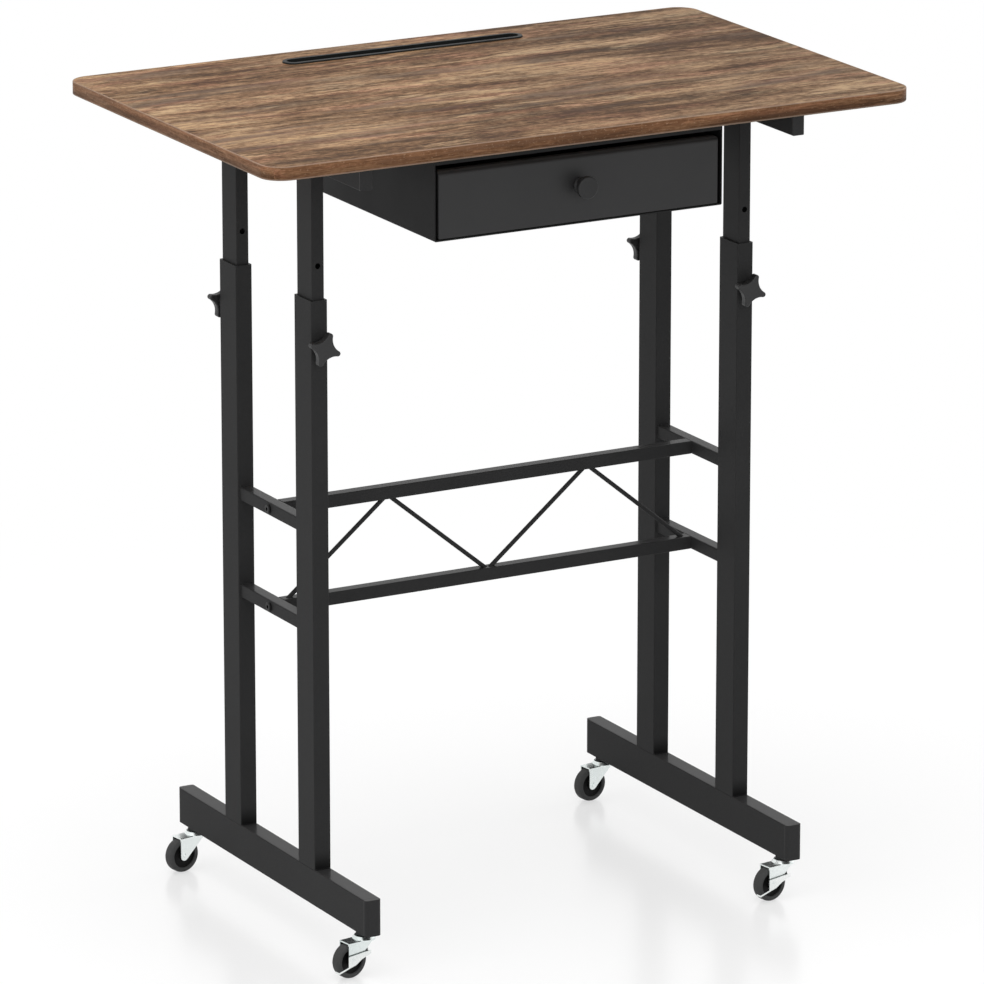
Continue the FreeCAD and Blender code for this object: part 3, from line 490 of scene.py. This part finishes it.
print("coated finishes:", len(finish))

# %% [markdown]
# ### Bright and dark metal
# Zinc plating is a pale, slightly cloudy metal. Its colour stays almost even, and the cloudiness is in the
# roughness. The small fasteners have a black oxide, which hardly shines and is made like a coating.

# %% Metal finishes
def plated(name, dark, light, rough):
    return coated(name, dark, light, rough, pebbles=1800.0, strength=0.06, specular=0.5, metallic=1.0,
                  dust_and_light_amount=0.0, depth=0.1 * MM)


finish["zinc_steel"] = plated("zinc_plate", (0.68, 0.74, 0.73), (0.85, 0.89, 0.88), (0.20, 0.34))
finish["brake_steel"] = plated("zinc_pedal_plate", (0.74, 0.77, 0.76), (0.88, 0.90, 0.89), (0.18, 0.30))
finish["bolt_steel"] = coated(
    "black_bolt_oxide", (0.007, 0.007, 0.0072), (0.011, 0.011, 0.0113),
    rough=(0.34, 0.44), pebbles=1600.0, strength=0.08, specular=0.20)
print("finishes with the metals:", len(finish))

# %% [markdown]
# ### Upper faces and painted corner shade of the tubes
# The tubes' upper faces are smooth enough to mirror the room and the legs that stand on them, so they get a
# clear coat. Where a leg stands on its foot, shade is painted into the coating: the corner is darker than the
# coating round it. Both depend on place and direction, so a mask picks them out and the tubes keep one
# material.

# %% Clear coat and painted corner shade
FOOT_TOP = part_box("left_foot")[1][2]
CORNER_SHADE_HEIGHT, ABOVE_FOOT = 24 * MM, 0.1 * MM
CORNER_SHADE, CORNER_SHADE_STRENGTH = (0.003, 0.003, 0.003), 0.8
SIDEWAYS = 0.7
CLEAR_COAT = 0.31
tree = finish["black_tube"].node_tree
shader = tree.nodes["Principled BSDF"]
coat = shader.inputs["Base Color"].links[0].from_socket
place = split(tree, node(tree, "ShaderNodeTexCoord").outputs["Object"])
normal = surface_normal(tree)
above = maths(tree, "SUBTRACT", place["Z"], FOOT_TOP)
corner = maths(tree, "MULTIPLY", remap(tree, above, CORNER_SHADE_HEIGHT, 0.0),
               maths(tree, "GREATER_THAN", above, ABOVE_FOOT))
lengthwise = maths(tree, "LESS_THAN", maths(tree, "ABSOLUTE", normal["X"], 0.0), SIDEWAYS)
corner = maths(tree, "MULTIPLY", corner, lengthwise)
# Painted shade: the coating turns near black towards the foot on the front and back faces of the legs.
corner_shaded = mix_colour(tree, maths(tree, "MULTIPLY", corner, CORNER_SHADE_STRENGTH), coat, CORNER_SHADE)
tree.links.new(corner_shaded, shader.inputs["Base Color"])
open_face = maths(tree, "SUBTRACT", remap(tree, normal["Z"], LEANING, LEVEL), corner, True)
tree.links.new(maths(tree, "MULTIPLY", open_face, CLEAR_COAT), shader.inputs["Coat Weight"])
shader.inputs["Coat Roughness"].default_value = 0.14
print("feet end at", round(FOOT_TOP / MM, 1), "mm")

# %% [markdown]
# ### The board and its edge strip
# Both use the wood group. The board is painted a little darker towards its right end, as shade where less light
# falls, and a slow step along X does that.

# %% The board
board, tree, shader, vector = new_material("rustic_board", specular=0.05)
grainy = use_group(tree, wood, vector)
# Painted shade: the board's colour is darkened towards its right end.
right_end_shade = grey(tree, remap(tree, split(tree, vector)["X"], -0.25, 0.35, 1.05, 0.77))
tree.links.new(mix_colour(tree, 1.0, grainy.outputs["Color"], right_end_shade, "MULTIPLY"), shader.inputs["Base Color"])
tree.links.new(grainy.outputs["Gloss"], shader.inputs["Roughness"])
add_bump(tree, shader, grainy.outputs["Height"], 0.12, 0.4 * MM)
finish["wood_top"] = board
print("board finish:", board.name)

# %% [markdown]
# The edge strip is a darker, redder and more even print, and its streaks follow the edge: on the two short
# sides X and Y change places. Unwrapping the strip would do the same, but a swap needs no seams.

# %% The edge strip: streaks
STRIP_STAIN, STRIP_BROWN, STRIP_EVENNESS = (0.74, 0.64, 0.64), (0.150, 0.074, 0.037), 0.4
strip, tree, shader, vector = new_material("rustic_edge_strip", specular=0.10)
place, normal = split(tree, vector), surface_normal(tree)
on_short_side = maths(tree, "GREATER_THAN", maths(tree, "ABSOLUTE", normal["X"], 0.0), SIDEWAYS)
swapped = node(tree, "ShaderNodeCombineXYZ")
for source, target in zip("YXZ", "XYZ"):
    tree.links.new(place[source], swapped.inputs[target])
turned = node(tree, "ShaderNodeMapping", Location=(0.31, 0.17, 0.05), Scale=(1.0, 1.0, 2.2))
tree.links.new(mix_colour(tree, on_short_side, vector, swapped.outputs[0]), turned.inputs["Vector"])
grainy = use_group(tree, wood, turned.outputs[0])
stain = mix_colour(tree, 1.0, grainy.outputs["Color"], STRIP_STAIN, "MULTIPLY")
stain = mix_colour(tree, STRIP_EVENNESS, stain, STRIP_BROWN)
tree.links.new(grainy.outputs["Gloss"], shader.inputs["Roughness"])

# %% [markdown]
# Small pale chips are strewn over the strip. It is paler towards the top, and a little darker to the right as
# painted shade, as on the board. Its lower arris is rubbed, and a pale line along its upper arris is a painted
# highlight. The height along Z picks these out, because the strip runs from the underside of the board to its
# top.

# %% The edge strip: chips, painted shade and pale arrises
CHIP, RUBBED_AND_HIGHLIGHT = (0.40, 0.27, 0.17), (0.44, 0.34, 0.26)
strip_low, strip_high = (corner[2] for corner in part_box("edge_banding"))
chips = remap(tree, stretched_noise(tree, vector, (260, 260, 420), 4.0, 0.70), 0.56, 0.72)
stain = mix_colour(tree, maths(tree, "MULTIPLY", chips, 0.55), stain, CHIP)
rise = remap(tree, place["Z"], strip_low + 3 * MM, strip_high - 2 * MM, 0.84, 1.65)
# Painted shade: the strip darkens towards its right end.
rise = maths(tree, "MULTIPLY", rise, remap(tree, place["X"], 0.05, 0.22, 1.0, 0.72))
stain = mix_colour(tree, 1.0, stain, grey(tree, rise), "MULTIPLY")
# Painted highlight along the upper arris; the lower arris is rubbed.
upper_highlight = remap(tree, place["Z"], strip_high - 1.2 * MM, strip_high - 0.4 * MM)
lower = remap(tree, place["Z"], strip_low + 2.2 * MM, strip_low + 1.2 * MM)
rubbed_and_highlit = maths(tree, "MAXIMUM", maths(tree, "MULTIPLY", upper_highlight, 0.42), maths(tree, "MULTIPLY", lower, 0.38))
tree.links.new(mix_colour(tree, rubbed_and_highlit, stain, RUBBED_AND_HIGHLIGHT), shader.inputs["Base Color"])
add_bump(tree, shader, chips, 0.10, 0.3 * MM)
finish["wood_edge"] = strip
print("strip from", round(strip_low, 4), "to", round(strip_high, 4))

# %% [markdown]
# ## Dress the solids
# The record says which slot each solid belongs to, so one loop gives every solid its finish.

# %% Finish by slot
for entry in frame["record"]["subparts"]:
    solid = frame["nodes"][entry["node"]]
    solid.data.materials.clear()
    solid.data.materials.append(finish[entry["material_slot"]])

# %% [markdown]
# ## Pieces modelled here
# Small turned and moulded pieces get their soft edges, threads and recesses in Blender. Each one is shaped at
# the origin, copied with a mesh of its own, and put where its solid is.

# %% Places of the legs and casters
LEGS = ["front_left", "front_right", "back_left", "back_right"]
LEG_X = 269 * MM
FRAME_Y = 3 * MM
LEG_Y = 90 * MM
STEM_Y = 206 * MM
CASTER_TURN = math.radians(9)


def signs_of(leg):
    """Which way a leg lies from the middle, along X and along Y."""
    return (-1 if "left" in leg else 1), (-1 if "front" in leg else 1)


def centre_of(name):
    low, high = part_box(name)
    return (Vector(low) + Vector(high)) / 2


print("legs stand", round(2 * LEG_X / MM), "mm apart, casters", round(2 * STEM_Y / MM), "mm")

# %% [markdown]
# Every new piece needs a finish, a slot and the body that it moves with, and it may stand in for a solid. One
# helper does all of this, so that no piece is left behind when the desk moves.

# %% Handing over a piece
def hand_over(obj, slot, body, *solids, coat=None):
    """Gives a piece its finish, the body it rides on and the solids that it stands for."""
    obj.data.materials.clear()
    obj.data.materials.append(coat or finish[slot])
    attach(obj, body)
    if solids:
        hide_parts(*solids)


def joined(pieces, name):
    """Joins finished pieces into one mesh."""
    clear_selection()
    for piece in pieces:
        piece.select_set(True)
    bpy.context.view_layer.objects.active = pieces[0]
    if len(pieces) > 1:
        bpy.ops.object.join()
    pieces[0].name = name
    pieces[0].data.name = name
    clear_selection()
    return pieces[0]


# %% [markdown]
# The wheels, nuts, studs and screws are shaped round the Z axis. So faces are picked by looking up or down,
# edges by their distance from the axis, and two moves are enough: along the axis, and in or out from it.

# %% Helpers for turned pieces
FACING = 0.9
SAME_LEVEL = 1e-6


def reach(point):
    """Distance of a mesh point from the Z axis."""
    return math.hypot(point.x, point.y)


def looking(way):
    """A test for the faces that look up (1) or down (-1)."""
    return lambda centre, normal: normal.z * way > FACING


def within(radius):
    """A test for the edges nearer to the axis than a radius."""
    return lambda a, b: max(reach(a), reach(b)) < radius


def lift(height):
    """Extrudes the picked faces along the axis."""
    bpy.ops.mesh.extrude_region_move(TRANSFORM_OT_translate={"value": (0, 0, height)})


def widen(factor, height):
    """Scales the picked faces at a height out from the axis."""
    bpy.ops.transform.resize(value=(factor, factor, 1.0), center_override=(0, 0, height))


# %% [markdown]
# ### Wheels
# A caster wheel is a grey rubber tyre with full shoulders round a dark hub. The tyre starts as a disc: both
# sides are inset, the middle is opened and bridged into a ring, and the shoulders are bevelled round. A torus
# would be quicker, but its tread would be round and not flat.

# %% One tyre
TYRE_RADIUS, TYRE_WIDTH, TYRE_WALL = 20 * MM, 13 * MM, 5.6 * MM
SHOULDER, INNER_ROUND = 3.5 * MM, 0.9 * MM
INSIDE, OUTSIDE = 15 * MM, 19 * MM
clear_selection()
bpy.ops.mesh.primitive_cylinder_add(vertices=96, radius=TYRE_RADIUS, depth=TYRE_WIDTH)
tyre = bpy.context.active_object
pick_faces(tyre, lambda centre, normal: abs(normal.z) > FACING)
bpy.ops.mesh.inset(thickness=TYRE_WALL)
bpy.ops.mesh.delete(type="FACE")
pick_edges(tyre, within(INSIDE))
bpy.ops.mesh.bridge_edge_loops()
pick_edges(tyre, lambda a, b: abs(a.z - b.z) < SAME_LEVEL and min(reach(a), reach(b)) > OUTSIDE)
bpy.ops.mesh.bevel(offset=SHOULDER, segments=7, affect="EDGES")
pick_edges(tyre, lambda a, b: abs(a.z - b.z) < SAME_LEVEL and max(reach(a), reach(b)) < INSIDE)
bpy.ops.mesh.bevel(offset=INNER_ROUND, segments=3, affect="EDGES")
clear_selection()
print("tyre faces:", len(tyre.data.polygons))

# %% [markdown]
# The hub is a dished disc with a boss in the middle. Each side is worked in turn: inset, pushed in, inset again
# and pulled out, and at the end a bore is opened for the axle.

# %% One hub
HUB_RADIUS, HUB_WIDTH, HUB_RIM, HUB_DISH = 14.4 * MM, 9 * MM, 1.1 * MM, 1.8 * MM
BOSS_INSET, BOSS_RISE, BOSS_TAPER = 7.3 * MM, 4.3 * MM, 0.92
BOSS_END, BOSS_FACE, BORE_INSET = 7 * MM, 6.9 * MM, 2.9 * MM
ON_AXIS, BORE_REACH = 0.1 * MM, 3 * MM
clear_selection()
bpy.ops.mesh.primitive_cylinder_add(vertices=72, radius=HUB_RADIUS, depth=HUB_WIDTH)
hub = bpy.context.active_object
for side in (1, -1):
    pick_faces(hub, looking(side))
    bpy.ops.mesh.inset(thickness=HUB_RIM)
    lift(-HUB_DISH * side)
    bpy.ops.mesh.inset(thickness=BOSS_INSET)
    lift(BOSS_RISE * side)
    widen(BOSS_TAPER, BOSS_END * side)
    bpy.ops.mesh.inset(thickness=BORE_INSET)
pick_faces(hub, lambda centre, normal: abs(normal.z) > FACING and abs(centre.z) > BOSS_FACE
           and reach(centre) < ON_AXIS)
bpy.ops.mesh.delete(type="FACE")
pick_edges(hub, within(BORE_REACH))
bpy.ops.mesh.bridge_edge_loops()
add_bevel(hub, 0.3 * MM, 2, 40)
print("hub faces:", len(hub.data.polygons))

# %% [markdown]
# The four wheels are copies of these two. Each is laid on its side, turned with its caster and put where the
# solid wheel is, and both halves roll with the same body.

# %% Four wheels
for leg in LEGS:
    for master, label, slot, coat in ((tyre, "wheel_tyre_", "wheel_rubber", None),
                                      (hub, "wheel_hub_", "black_plastic", hub_finish)):
        twin = copy_of(master, label + leg)
        twin.rotation_euler = (math.pi / 2, 0, CASTER_TURN)
        twin.location = centre_of("caster_wheel_" + leg)
        settle(twin)
        hand_over(twin, slot, "wheel_" + leg, coat=coat)
    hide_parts("caster_wheel_" + leg)
bpy.data.objects.remove(tyre)
bpy.data.objects.remove(hub)
print("wheels made:", len(LEGS))

# %% [markdown]
# ### Lock nuts
# Between each caster and its foot sits a flat black nut. A six-sided disc is inset with a little height on both
# sides, which gives the chamfer, and then bored.

# %% One lock nut
NUT_LOW, NUT_HIGH, NUT_FLATS = 45.8 * MM, 50 * MM, 17 * MM
NUT_CHAMFER, NUT_CHAMFER_WIDTH, NUT_LAND = 0.5 * MM, 1.0 * MM, 3.2 * MM
NUT_BORE_REACH = 6 * MM
clear_selection()
bpy.ops.mesh.primitive_cylinder_add(vertices=6, radius=NUT_FLATS / math.sqrt(3),
                                    depth=NUT_HIGH - NUT_LOW - 2 * NUT_CHAMFER)
nut = bpy.context.active_object
for side in (1, -1):
    pick_faces(nut, looking(side))
    bpy.ops.mesh.inset(thickness=NUT_CHAMFER_WIDTH, depth=NUT_CHAMFER)
    bpy.ops.mesh.inset(thickness=NUT_LAND)
    bpy.ops.mesh.delete(type="FACE")
pick_edges(nut, within(NUT_BORE_REACH))
bpy.ops.mesh.bridge_edge_loops()
add_bevel(nut, 0.25 * MM, 2, 20)
print("nut faces:", len(nut.data.polygons))

# %% [markdown]
# The nuts never move by themselves, so the four copies are joined into one piece of the lower frame.

# %% Four lock nuts
nuts = []
for leg in LEGS:
    sign_x, sign_y = signs_of(leg)
    twin = copy_of(nut, "lock_nut_" + leg)
    twin.rotation_euler = (0, 0, math.radians(30))
    twin.location = (sign_x * LEG_X, FRAME_Y + sign_y * STEM_Y, (NUT_LOW + NUT_HIGH) / 2)
    nuts.append(settle(twin, 25))
bpy.data.objects.remove(nut)
hand_over(joined(nuts, "caster_nuts"), "black_plastic", "base_frame", "caster_lock_nuts")
print("nuts made:", len(nuts))

# %% [markdown]
# ### Threaded studs
# A star knob turns a threaded stud. A true helix needs many faces, and the thread is so fine that a stack of
# ridges reads as one. So the end face is extruded again and again, a little wider and a little narrower by
# turns.

# %% One stud
STUD_ROOT, STUD_CREST = 2.45, 3.0
STUD_LAND, HALF_PITCH, STUD_RIDGES = 0.4 * MM, 0.5 * MM, 14
clear_selection()
bpy.ops.mesh.primitive_cylinder_add(vertices=28, radius=STUD_ROOT * MM, depth=STUD_LAND,
                                    location=(0, 0, STUD_LAND / 2))
stud = bpy.context.active_object
pick_faces(stud, looking(1))
height = STUD_LAND
for growth in (STUD_CREST / STUD_ROOT, STUD_ROOT / STUD_CREST) * STUD_RIDGES:
    height += HALF_PITCH
    lift(HALF_PITCH)
    widen(growth, height)
lift(STUD_LAND)
clear_selection()
print("stud length", round((height + STUD_LAND) / MM, 2), "mm")

# %% [markdown]
# Front studs point back into their legs and back studs point forward, so each copy is turned to its own side.

# %% Four studs
for leg in LEGS:
    way = signs_of(leg)[1]
    low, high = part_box("clamp_stud_" + leg)
    twin = copy_of(stud, "threaded_stud_" + leg)
    twin.rotation_euler = (-way * math.pi / 2, 0, 0)
    twin.location = ((low[0] + high[0]) / 2, low[1] if way > 0 else high[1], (low[2] + high[2]) / 2)
    settle(twin, 20)
    hand_over(twin, "bolt_steel", "lock_stud_" + leg, "clamp_stud_" + leg)
bpy.data.objects.remove(stud)
print("studs made:", len(LEGS))

# %% [markdown]
# ### Screws under the top
# Pan-head screws hold the rails and the drawer case. The head is a disc whose face is inset and lifted twice
# into a low dome, and a cross is cut into it with a Boolean modifier.

# %% One screw head
HEAD_RADIUS, HEAD_RIM = 4 * MM, 1.0 * MM
DOME = ((0.7 * MM, 0.7 * MM), (1.3 * MM, 0.4 * MM))
RECESS = (4.2 * MM, 0.9 * MM, 2.4 * MM)
RECESS_DROP = 2.0 * MM
clear_selection()
bpy.ops.mesh.primitive_cylinder_add(vertices=32, radius=HEAD_RADIUS, depth=HEAD_RIM,
                                    location=(0, 0, -HEAD_RIM / 2))
screw = bpy.context.active_object
pick_faces(screw, looking(-1))
for inset, drop in DOME:
    bpy.ops.mesh.inset(thickness=inset, depth=drop)
for turn in (0, math.pi / 2):
    clear_selection()
    bpy.ops.mesh.primitive_cube_add(size=1.0, location=(0, 0, -RECESS_DROP))
    cutter = bpy.context.active_object
    cutter.scale = RECESS
    cutter.rotation_euler = (0, 0, turn)
    settle(cutter)
    apply_modifier(screw, "recess", "BOOLEAN", operation="DIFFERENCE", object=cutter)
    bpy.data.objects.remove(cutter)
print("screw head faces:", len(screw.data.polygons))

# %% [markdown]
# Three screws go through each rail and three through each side of the drawer case. Their heights and the sides
# of the case are read from the solids, so that the heads lie flat on them.

# %% Seats of the screws
RAIL_STEP, CASE_STEP = 150 * MM, 120 * MM
CASE_EDGE, CASE_SHEET = 8 * MM, 1.2 * MM
rail_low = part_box("top_rail_left")[0][2]
board_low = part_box("tabletop")[0][2]
case_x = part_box("drawer_case_right")[1][0] - CASE_EDGE
case_y = centre_of("drawer_case_left").y
seats = []
for x, y, step, z in ((LEG_X, FRAME_Y, RAIL_STEP, rail_low),
                      (case_x, case_y, CASE_STEP, board_low - CASE_SHEET)):
    seats += [(side * x, y + row * step, z) for side in (-1, 1) for row in (-1, 0, 1)]
print("seats:", len(seats))

# %% [markdown]
# Each screw is a copy of the head with a pointed shank. The crosses stand at different angles, as screws do
# when they have been driven home.

# %% Twelve screws
SHANK_RADIUS, SHANK_LENGTH = 2 * MM, 12 * MM
TIP_INSET, TIP_LENGTH = 1.2 * MM, 1.5 * MM
TURN_BETWEEN = 0.7
screws = []
for count, seat in enumerate(seats):
    clear_selection()
    bpy.ops.mesh.primitive_cylinder_add(vertices=20, radius=SHANK_RADIUS, depth=SHANK_LENGTH,
                                        location=(0, 0, SHANK_LENGTH / 2))
    shank = bpy.context.active_object
    pick_faces(shank, looking(1))
    bpy.ops.mesh.inset(thickness=TIP_INSET, depth=TIP_LENGTH)
    clear_selection()
    name = "screw_%02d" % count
    twin = joined([copy_of(screw, name), shank], name)
    twin.rotation_euler = (0, 0, TURN_BETWEEN * count)
    twin.location = seat
    screws.append(settle(twin, 30))
bpy.data.objects.remove(screw)
hand_over(joined(screws, "screws_under_top"), "bolt_steel", "upper_desk", "underside_screws")
print("screws made:", len(screws))

# %% [markdown]
# ### Weld beads
# The tubes are welded, and under the coating each joint keeps a small rippled bead. It could be a bump in the
# material, but the ripples show at the edge of the joint. So a bead is one squashed ball, repeated along the
# joint by an Array modifier.

# %% A bead between two points
BEAD, SMALL_BEAD = 1.5 * MM, 1.2 * MM
BEAD_STEP, BEAD_SQUASH = 1.5 * MM, 0.85


def weld_bead(start, end, size):
    clear_selection()
    bpy.ops.mesh.primitive_uv_sphere_add(segments=8, ring_count=6, radius=size)
    bead = bpy.context.active_object
    bead.scale = (BEAD_SQUASH, 1.0, 1.0)
    bpy.ops.object.transform_apply(location=False, rotation=False, scale=True)
    run = Vector(end) - Vector(start)
    count = max(2, round(run.length / BEAD_STEP))
    apply_modifier(bead, "row", "ARRAY", use_relative_offset=False, use_constant_offset=True, count=count,
                   constant_offset_displace=(run.length / (count - 1), 0, 0))
    bead.rotation_euler = run.to_track_quat("X", "Z").to_euler()
    bead.location = start
    return settle(bead, 60)


# %% [markdown]
# On the lower frame, beads run across the foot in front of and behind each leg, and round the ends of the side
# rails. They stop short of the tubes' corners, which are rounded.

# %% Beads of the frame
LEG_HALF_DEPTH, FOOT_BEAD_HALF = 20 * MM, 8 * MM
CORNER_GAP = 1.5 * MM
RAILS = ["upper_side_rail_left", "upper_side_rail_right", "lower_side_rail_left", "lower_side_rail_right"]
beads = []
for leg in LEGS:
    sign_x, sign_y = signs_of(leg)
    x, y = sign_x * LEG_X, FRAME_Y + sign_y * LEG_Y
    for face in (-LEG_HALF_DEPTH, LEG_HALF_DEPTH):
        left, right = x - FOOT_BEAD_HALF, x + FOOT_BEAD_HALF
        beads.append(weld_bead((left, y + face, FOOT_TOP), (right, y + face, FOOT_TOP), BEAD))
for rail in RAILS:
    low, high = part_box(rail)
    for y in (low[1], high[1]):
        for z in (low[2], high[2]):
            beads.append(weld_bead((low[0] + CORNER_GAP, y, z), (high[0] - CORNER_GAP, y, z), SMALL_BEAD))
        for x in (low[0], high[0]):
            beads.append(weld_bead((x, y, low[2] + CORNER_GAP), (x, y, high[2] - CORNER_GAP), SMALL_BEAD))
frame_beads = len(beads)
hand_over(joined(beads, "frame_welds"), "black_tube", "base_frame")
print("beads on the frame:", frame_beads)

# %% [markdown]
# The inner legs are welded to the rails under the top. These beads rise and sink with the desk, so they are a
# piece of their own.

# %% Beads under the top
beads = []
for leg in LEGS:
    low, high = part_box("inner_leg_" + leg)
    left, right = low[0] + CORNER_GAP, high[0] - CORNER_GAP
    for y in (low[1], high[1]):
        beads.append(weld_bead((left, y, high[2]), (right, y, high[2]), SMALL_BEAD))
top_beads = len(beads)
hand_over(joined(beads, "top_rail_welds"), "black_tube", "upper_desk")
print("beads under the top:", top_beads)

# %% [markdown]
# ## Stage, light and camera
# The desk stands on a wide pale floor that keeps its soft shadow and turns white further out. A curved backdrop
# is the usual way, but a flat floor that fades has no bend to hide from other sides.

# %% Floor
FLOOR_RADIUS = 40.0
PAPER = (0.80, 0.80, 0.80, 1.0)
clear_selection()
bpy.ops.mesh.primitive_circle_add(vertices=96, radius=FLOOR_RADIUS, fill_type="NGON", location=(0, 0, 0))
floor = bpy.context.active_object
floor.name = "studio_floor"
paper = bpy.data.materials.new("pale_floor")
paper.use_nodes = True
tree = paper.node_tree
plain = tree.nodes["Principled BSDF"]
plain.inputs["Base Color"].default_value = PAPER
plain.inputs["Roughness"].default_value = 0.6
floor.data.materials.append(paper)
print("floor radius:", FLOOR_RADIUS, "m")

# %% [markdown]
# The paper lights the desk from below like plain white card. What the eye and the bright metal see of it is a
# second shader: half-bright paper that takes the shadow and a faint mirror image, with a glow added, which
# turns white with distance. Light Path tells the two apart.

# %% What is seen of the floor
SEEN_GREY = (0.43, 0.43, 0.43, 1.0)
FADE_START, FADE_END = 0.5, 1.6
seen = node(tree, "ShaderNodeBsdfPrincipled", Roughness=0.22)
seen.inputs["Base Color"].default_value = SEEN_GREY
seen.inputs["Specular IOR Level"].default_value = 0.25
glow = node(tree, "ShaderNodeEmission", Strength=0.57)
white = node(tree, "ShaderNodeEmission", Strength=1.0)
glowing = node(tree, "ShaderNodeAddShader")
tree.links.new(seen.outputs[0], glowing.inputs[0])
tree.links.new(glow.outputs[0], glowing.inputs[1])
away = node(tree, "ShaderNodeVectorMath", operation="LENGTH")
tree.links.new(node(tree, "ShaderNodeTexCoord").outputs["Object"], away.inputs[0])


def bright_path(tree):
    """One for rays from the eye, from a mirror or through glass, and zero for other light."""
    path = node(tree, "ShaderNodeLightPath").outputs
    mirrored = maths(tree, "MAXIMUM", path["Is Glossy Ray"], path["Is Transmission Ray"])
    return maths(tree, "MAXIMUM", path["Is Camera Ray"], mirrored)


def mix_shaders(tree, factor, first, second):
    made = node(tree, "ShaderNodeMixShader")
    for slot, value in zip(made.inputs, (factor, first, second)):
        tree.links.new(value, slot)
    return made.outputs[0]


fade = remap(tree, away.outputs["Value"], FADE_START, FADE_END)
fading = mix_shaders(tree, fade, glowing.outputs[0], white.outputs[0])
shown = mix_shaders(tree, bright_path(tree), plain.outputs[0], fading)
tree.links.new(shown, tree.nodes["Material Output"].inputs["Surface"])
print("floor turns white between", FADE_START, "and", FADE_END, "m")

# %% [markdown]
# The world is white to the eye and in mirrors, and half as strong as a light, so that it fills the shadows
# without washing out the blacks.

# %% World
WORLD_FILL = 0.50
world = bpy.data.worlds.new("studio_world")
bpy.context.scene.world = world
world.use_nodes = True
tree = world.node_tree
sky = tree.nodes["Background"]
sky.inputs["Color"].default_value = (1.0, 1.0, 1.0, 1.0)
tree.links.new(remap(tree, bright_path(tree), 0.0, 1.0, WORLD_FILL, 1.0), sky.inputs["Strength"])
print("world fill:", WORLD_FILL)

# %% [markdown]
# One large lamp hangs overhead, and others stand to the left, in front and, weaker, to the right. Large soft
# lamps give black tubes broad, even faces, where small ones would leave hard spots.

# %% Lamps
LAMPS = [("overhead_softbox", (-0.4, -0.3, 3.4), (0.0, 0.0, 0.5), (2.6, 2.2), 42.0),
         ("left_softbox", (-3.2, -0.6, 1.6), (0.0, 0.0, 0.6), (1.8, 2.0), 12.0),
         ("front_softbox", (-0.6, -3.4, 1.8), (0.0, 0.0, 0.6), (2.2, 1.6), 18.2),
         ("right_softbox", (3.2, 0.8, 1.4), (0.0, 0.0, 0.6), (1.8, 2.0), 7.0)]


def point(obj, direction):
    """Turns a lamp or a camera so that it looks in a direction."""
    obj.rotation_euler = Vector(direction).to_track_quat("-Z", "Y").to_euler()


for name, stand, target, size, watts in LAMPS:
    lamp = bpy.data.lights.new(name, "AREA")
    lamp.shape = "RECTANGLE"
    lamp.size, lamp.size_y = size
    lamp.energy = watts
    softbox = bpy.data.objects.new(name, lamp)
    bpy.context.collection.objects.link(softbox)
    softbox.location = stand
    point(softbox, Vector(target) - Vector(stand))
print("lamps:", len(LAMPS))

# %% [markdown]
# The camera looks from the front left with a long lens. Its place and direction were fitted to the lines of the
# desk.

# %% Camera
CAMERA_PLACE = (-3.81129, -6.92054, 2.71323)
AZIMUTH, DIP = math.radians(28.8688), math.radians(15.8941)
FOCAL_MM, SENSOR_MM = 267.201, 36.0
lens = bpy.data.cameras.new("studio_camera")
lens.sensor_width = SENSOR_MM
lens.lens = FOCAL_MM
lens.clip_end = 100.0
camera = bpy.data.objects.new("studio_camera", lens)
bpy.context.collection.objects.link(camera)
camera.location = CAMERA_PLACE
point(camera, (math.sin(AZIMUTH) * math.cos(DIP), math.cos(AZIMUTH) * math.cos(DIP), -math.sin(DIP)))
bpy.context.scene.camera = camera
bpy.context.scene.view_settings.view_transform = "Standard"
print("camera stands", round(camera.location.length, 2), "m away")

# %% [markdown]
# ## The end
# Dressing a part doesn't change its size. At the end the scene is brought up to date.

# %% Last update
bpy.context.view_layer.update()
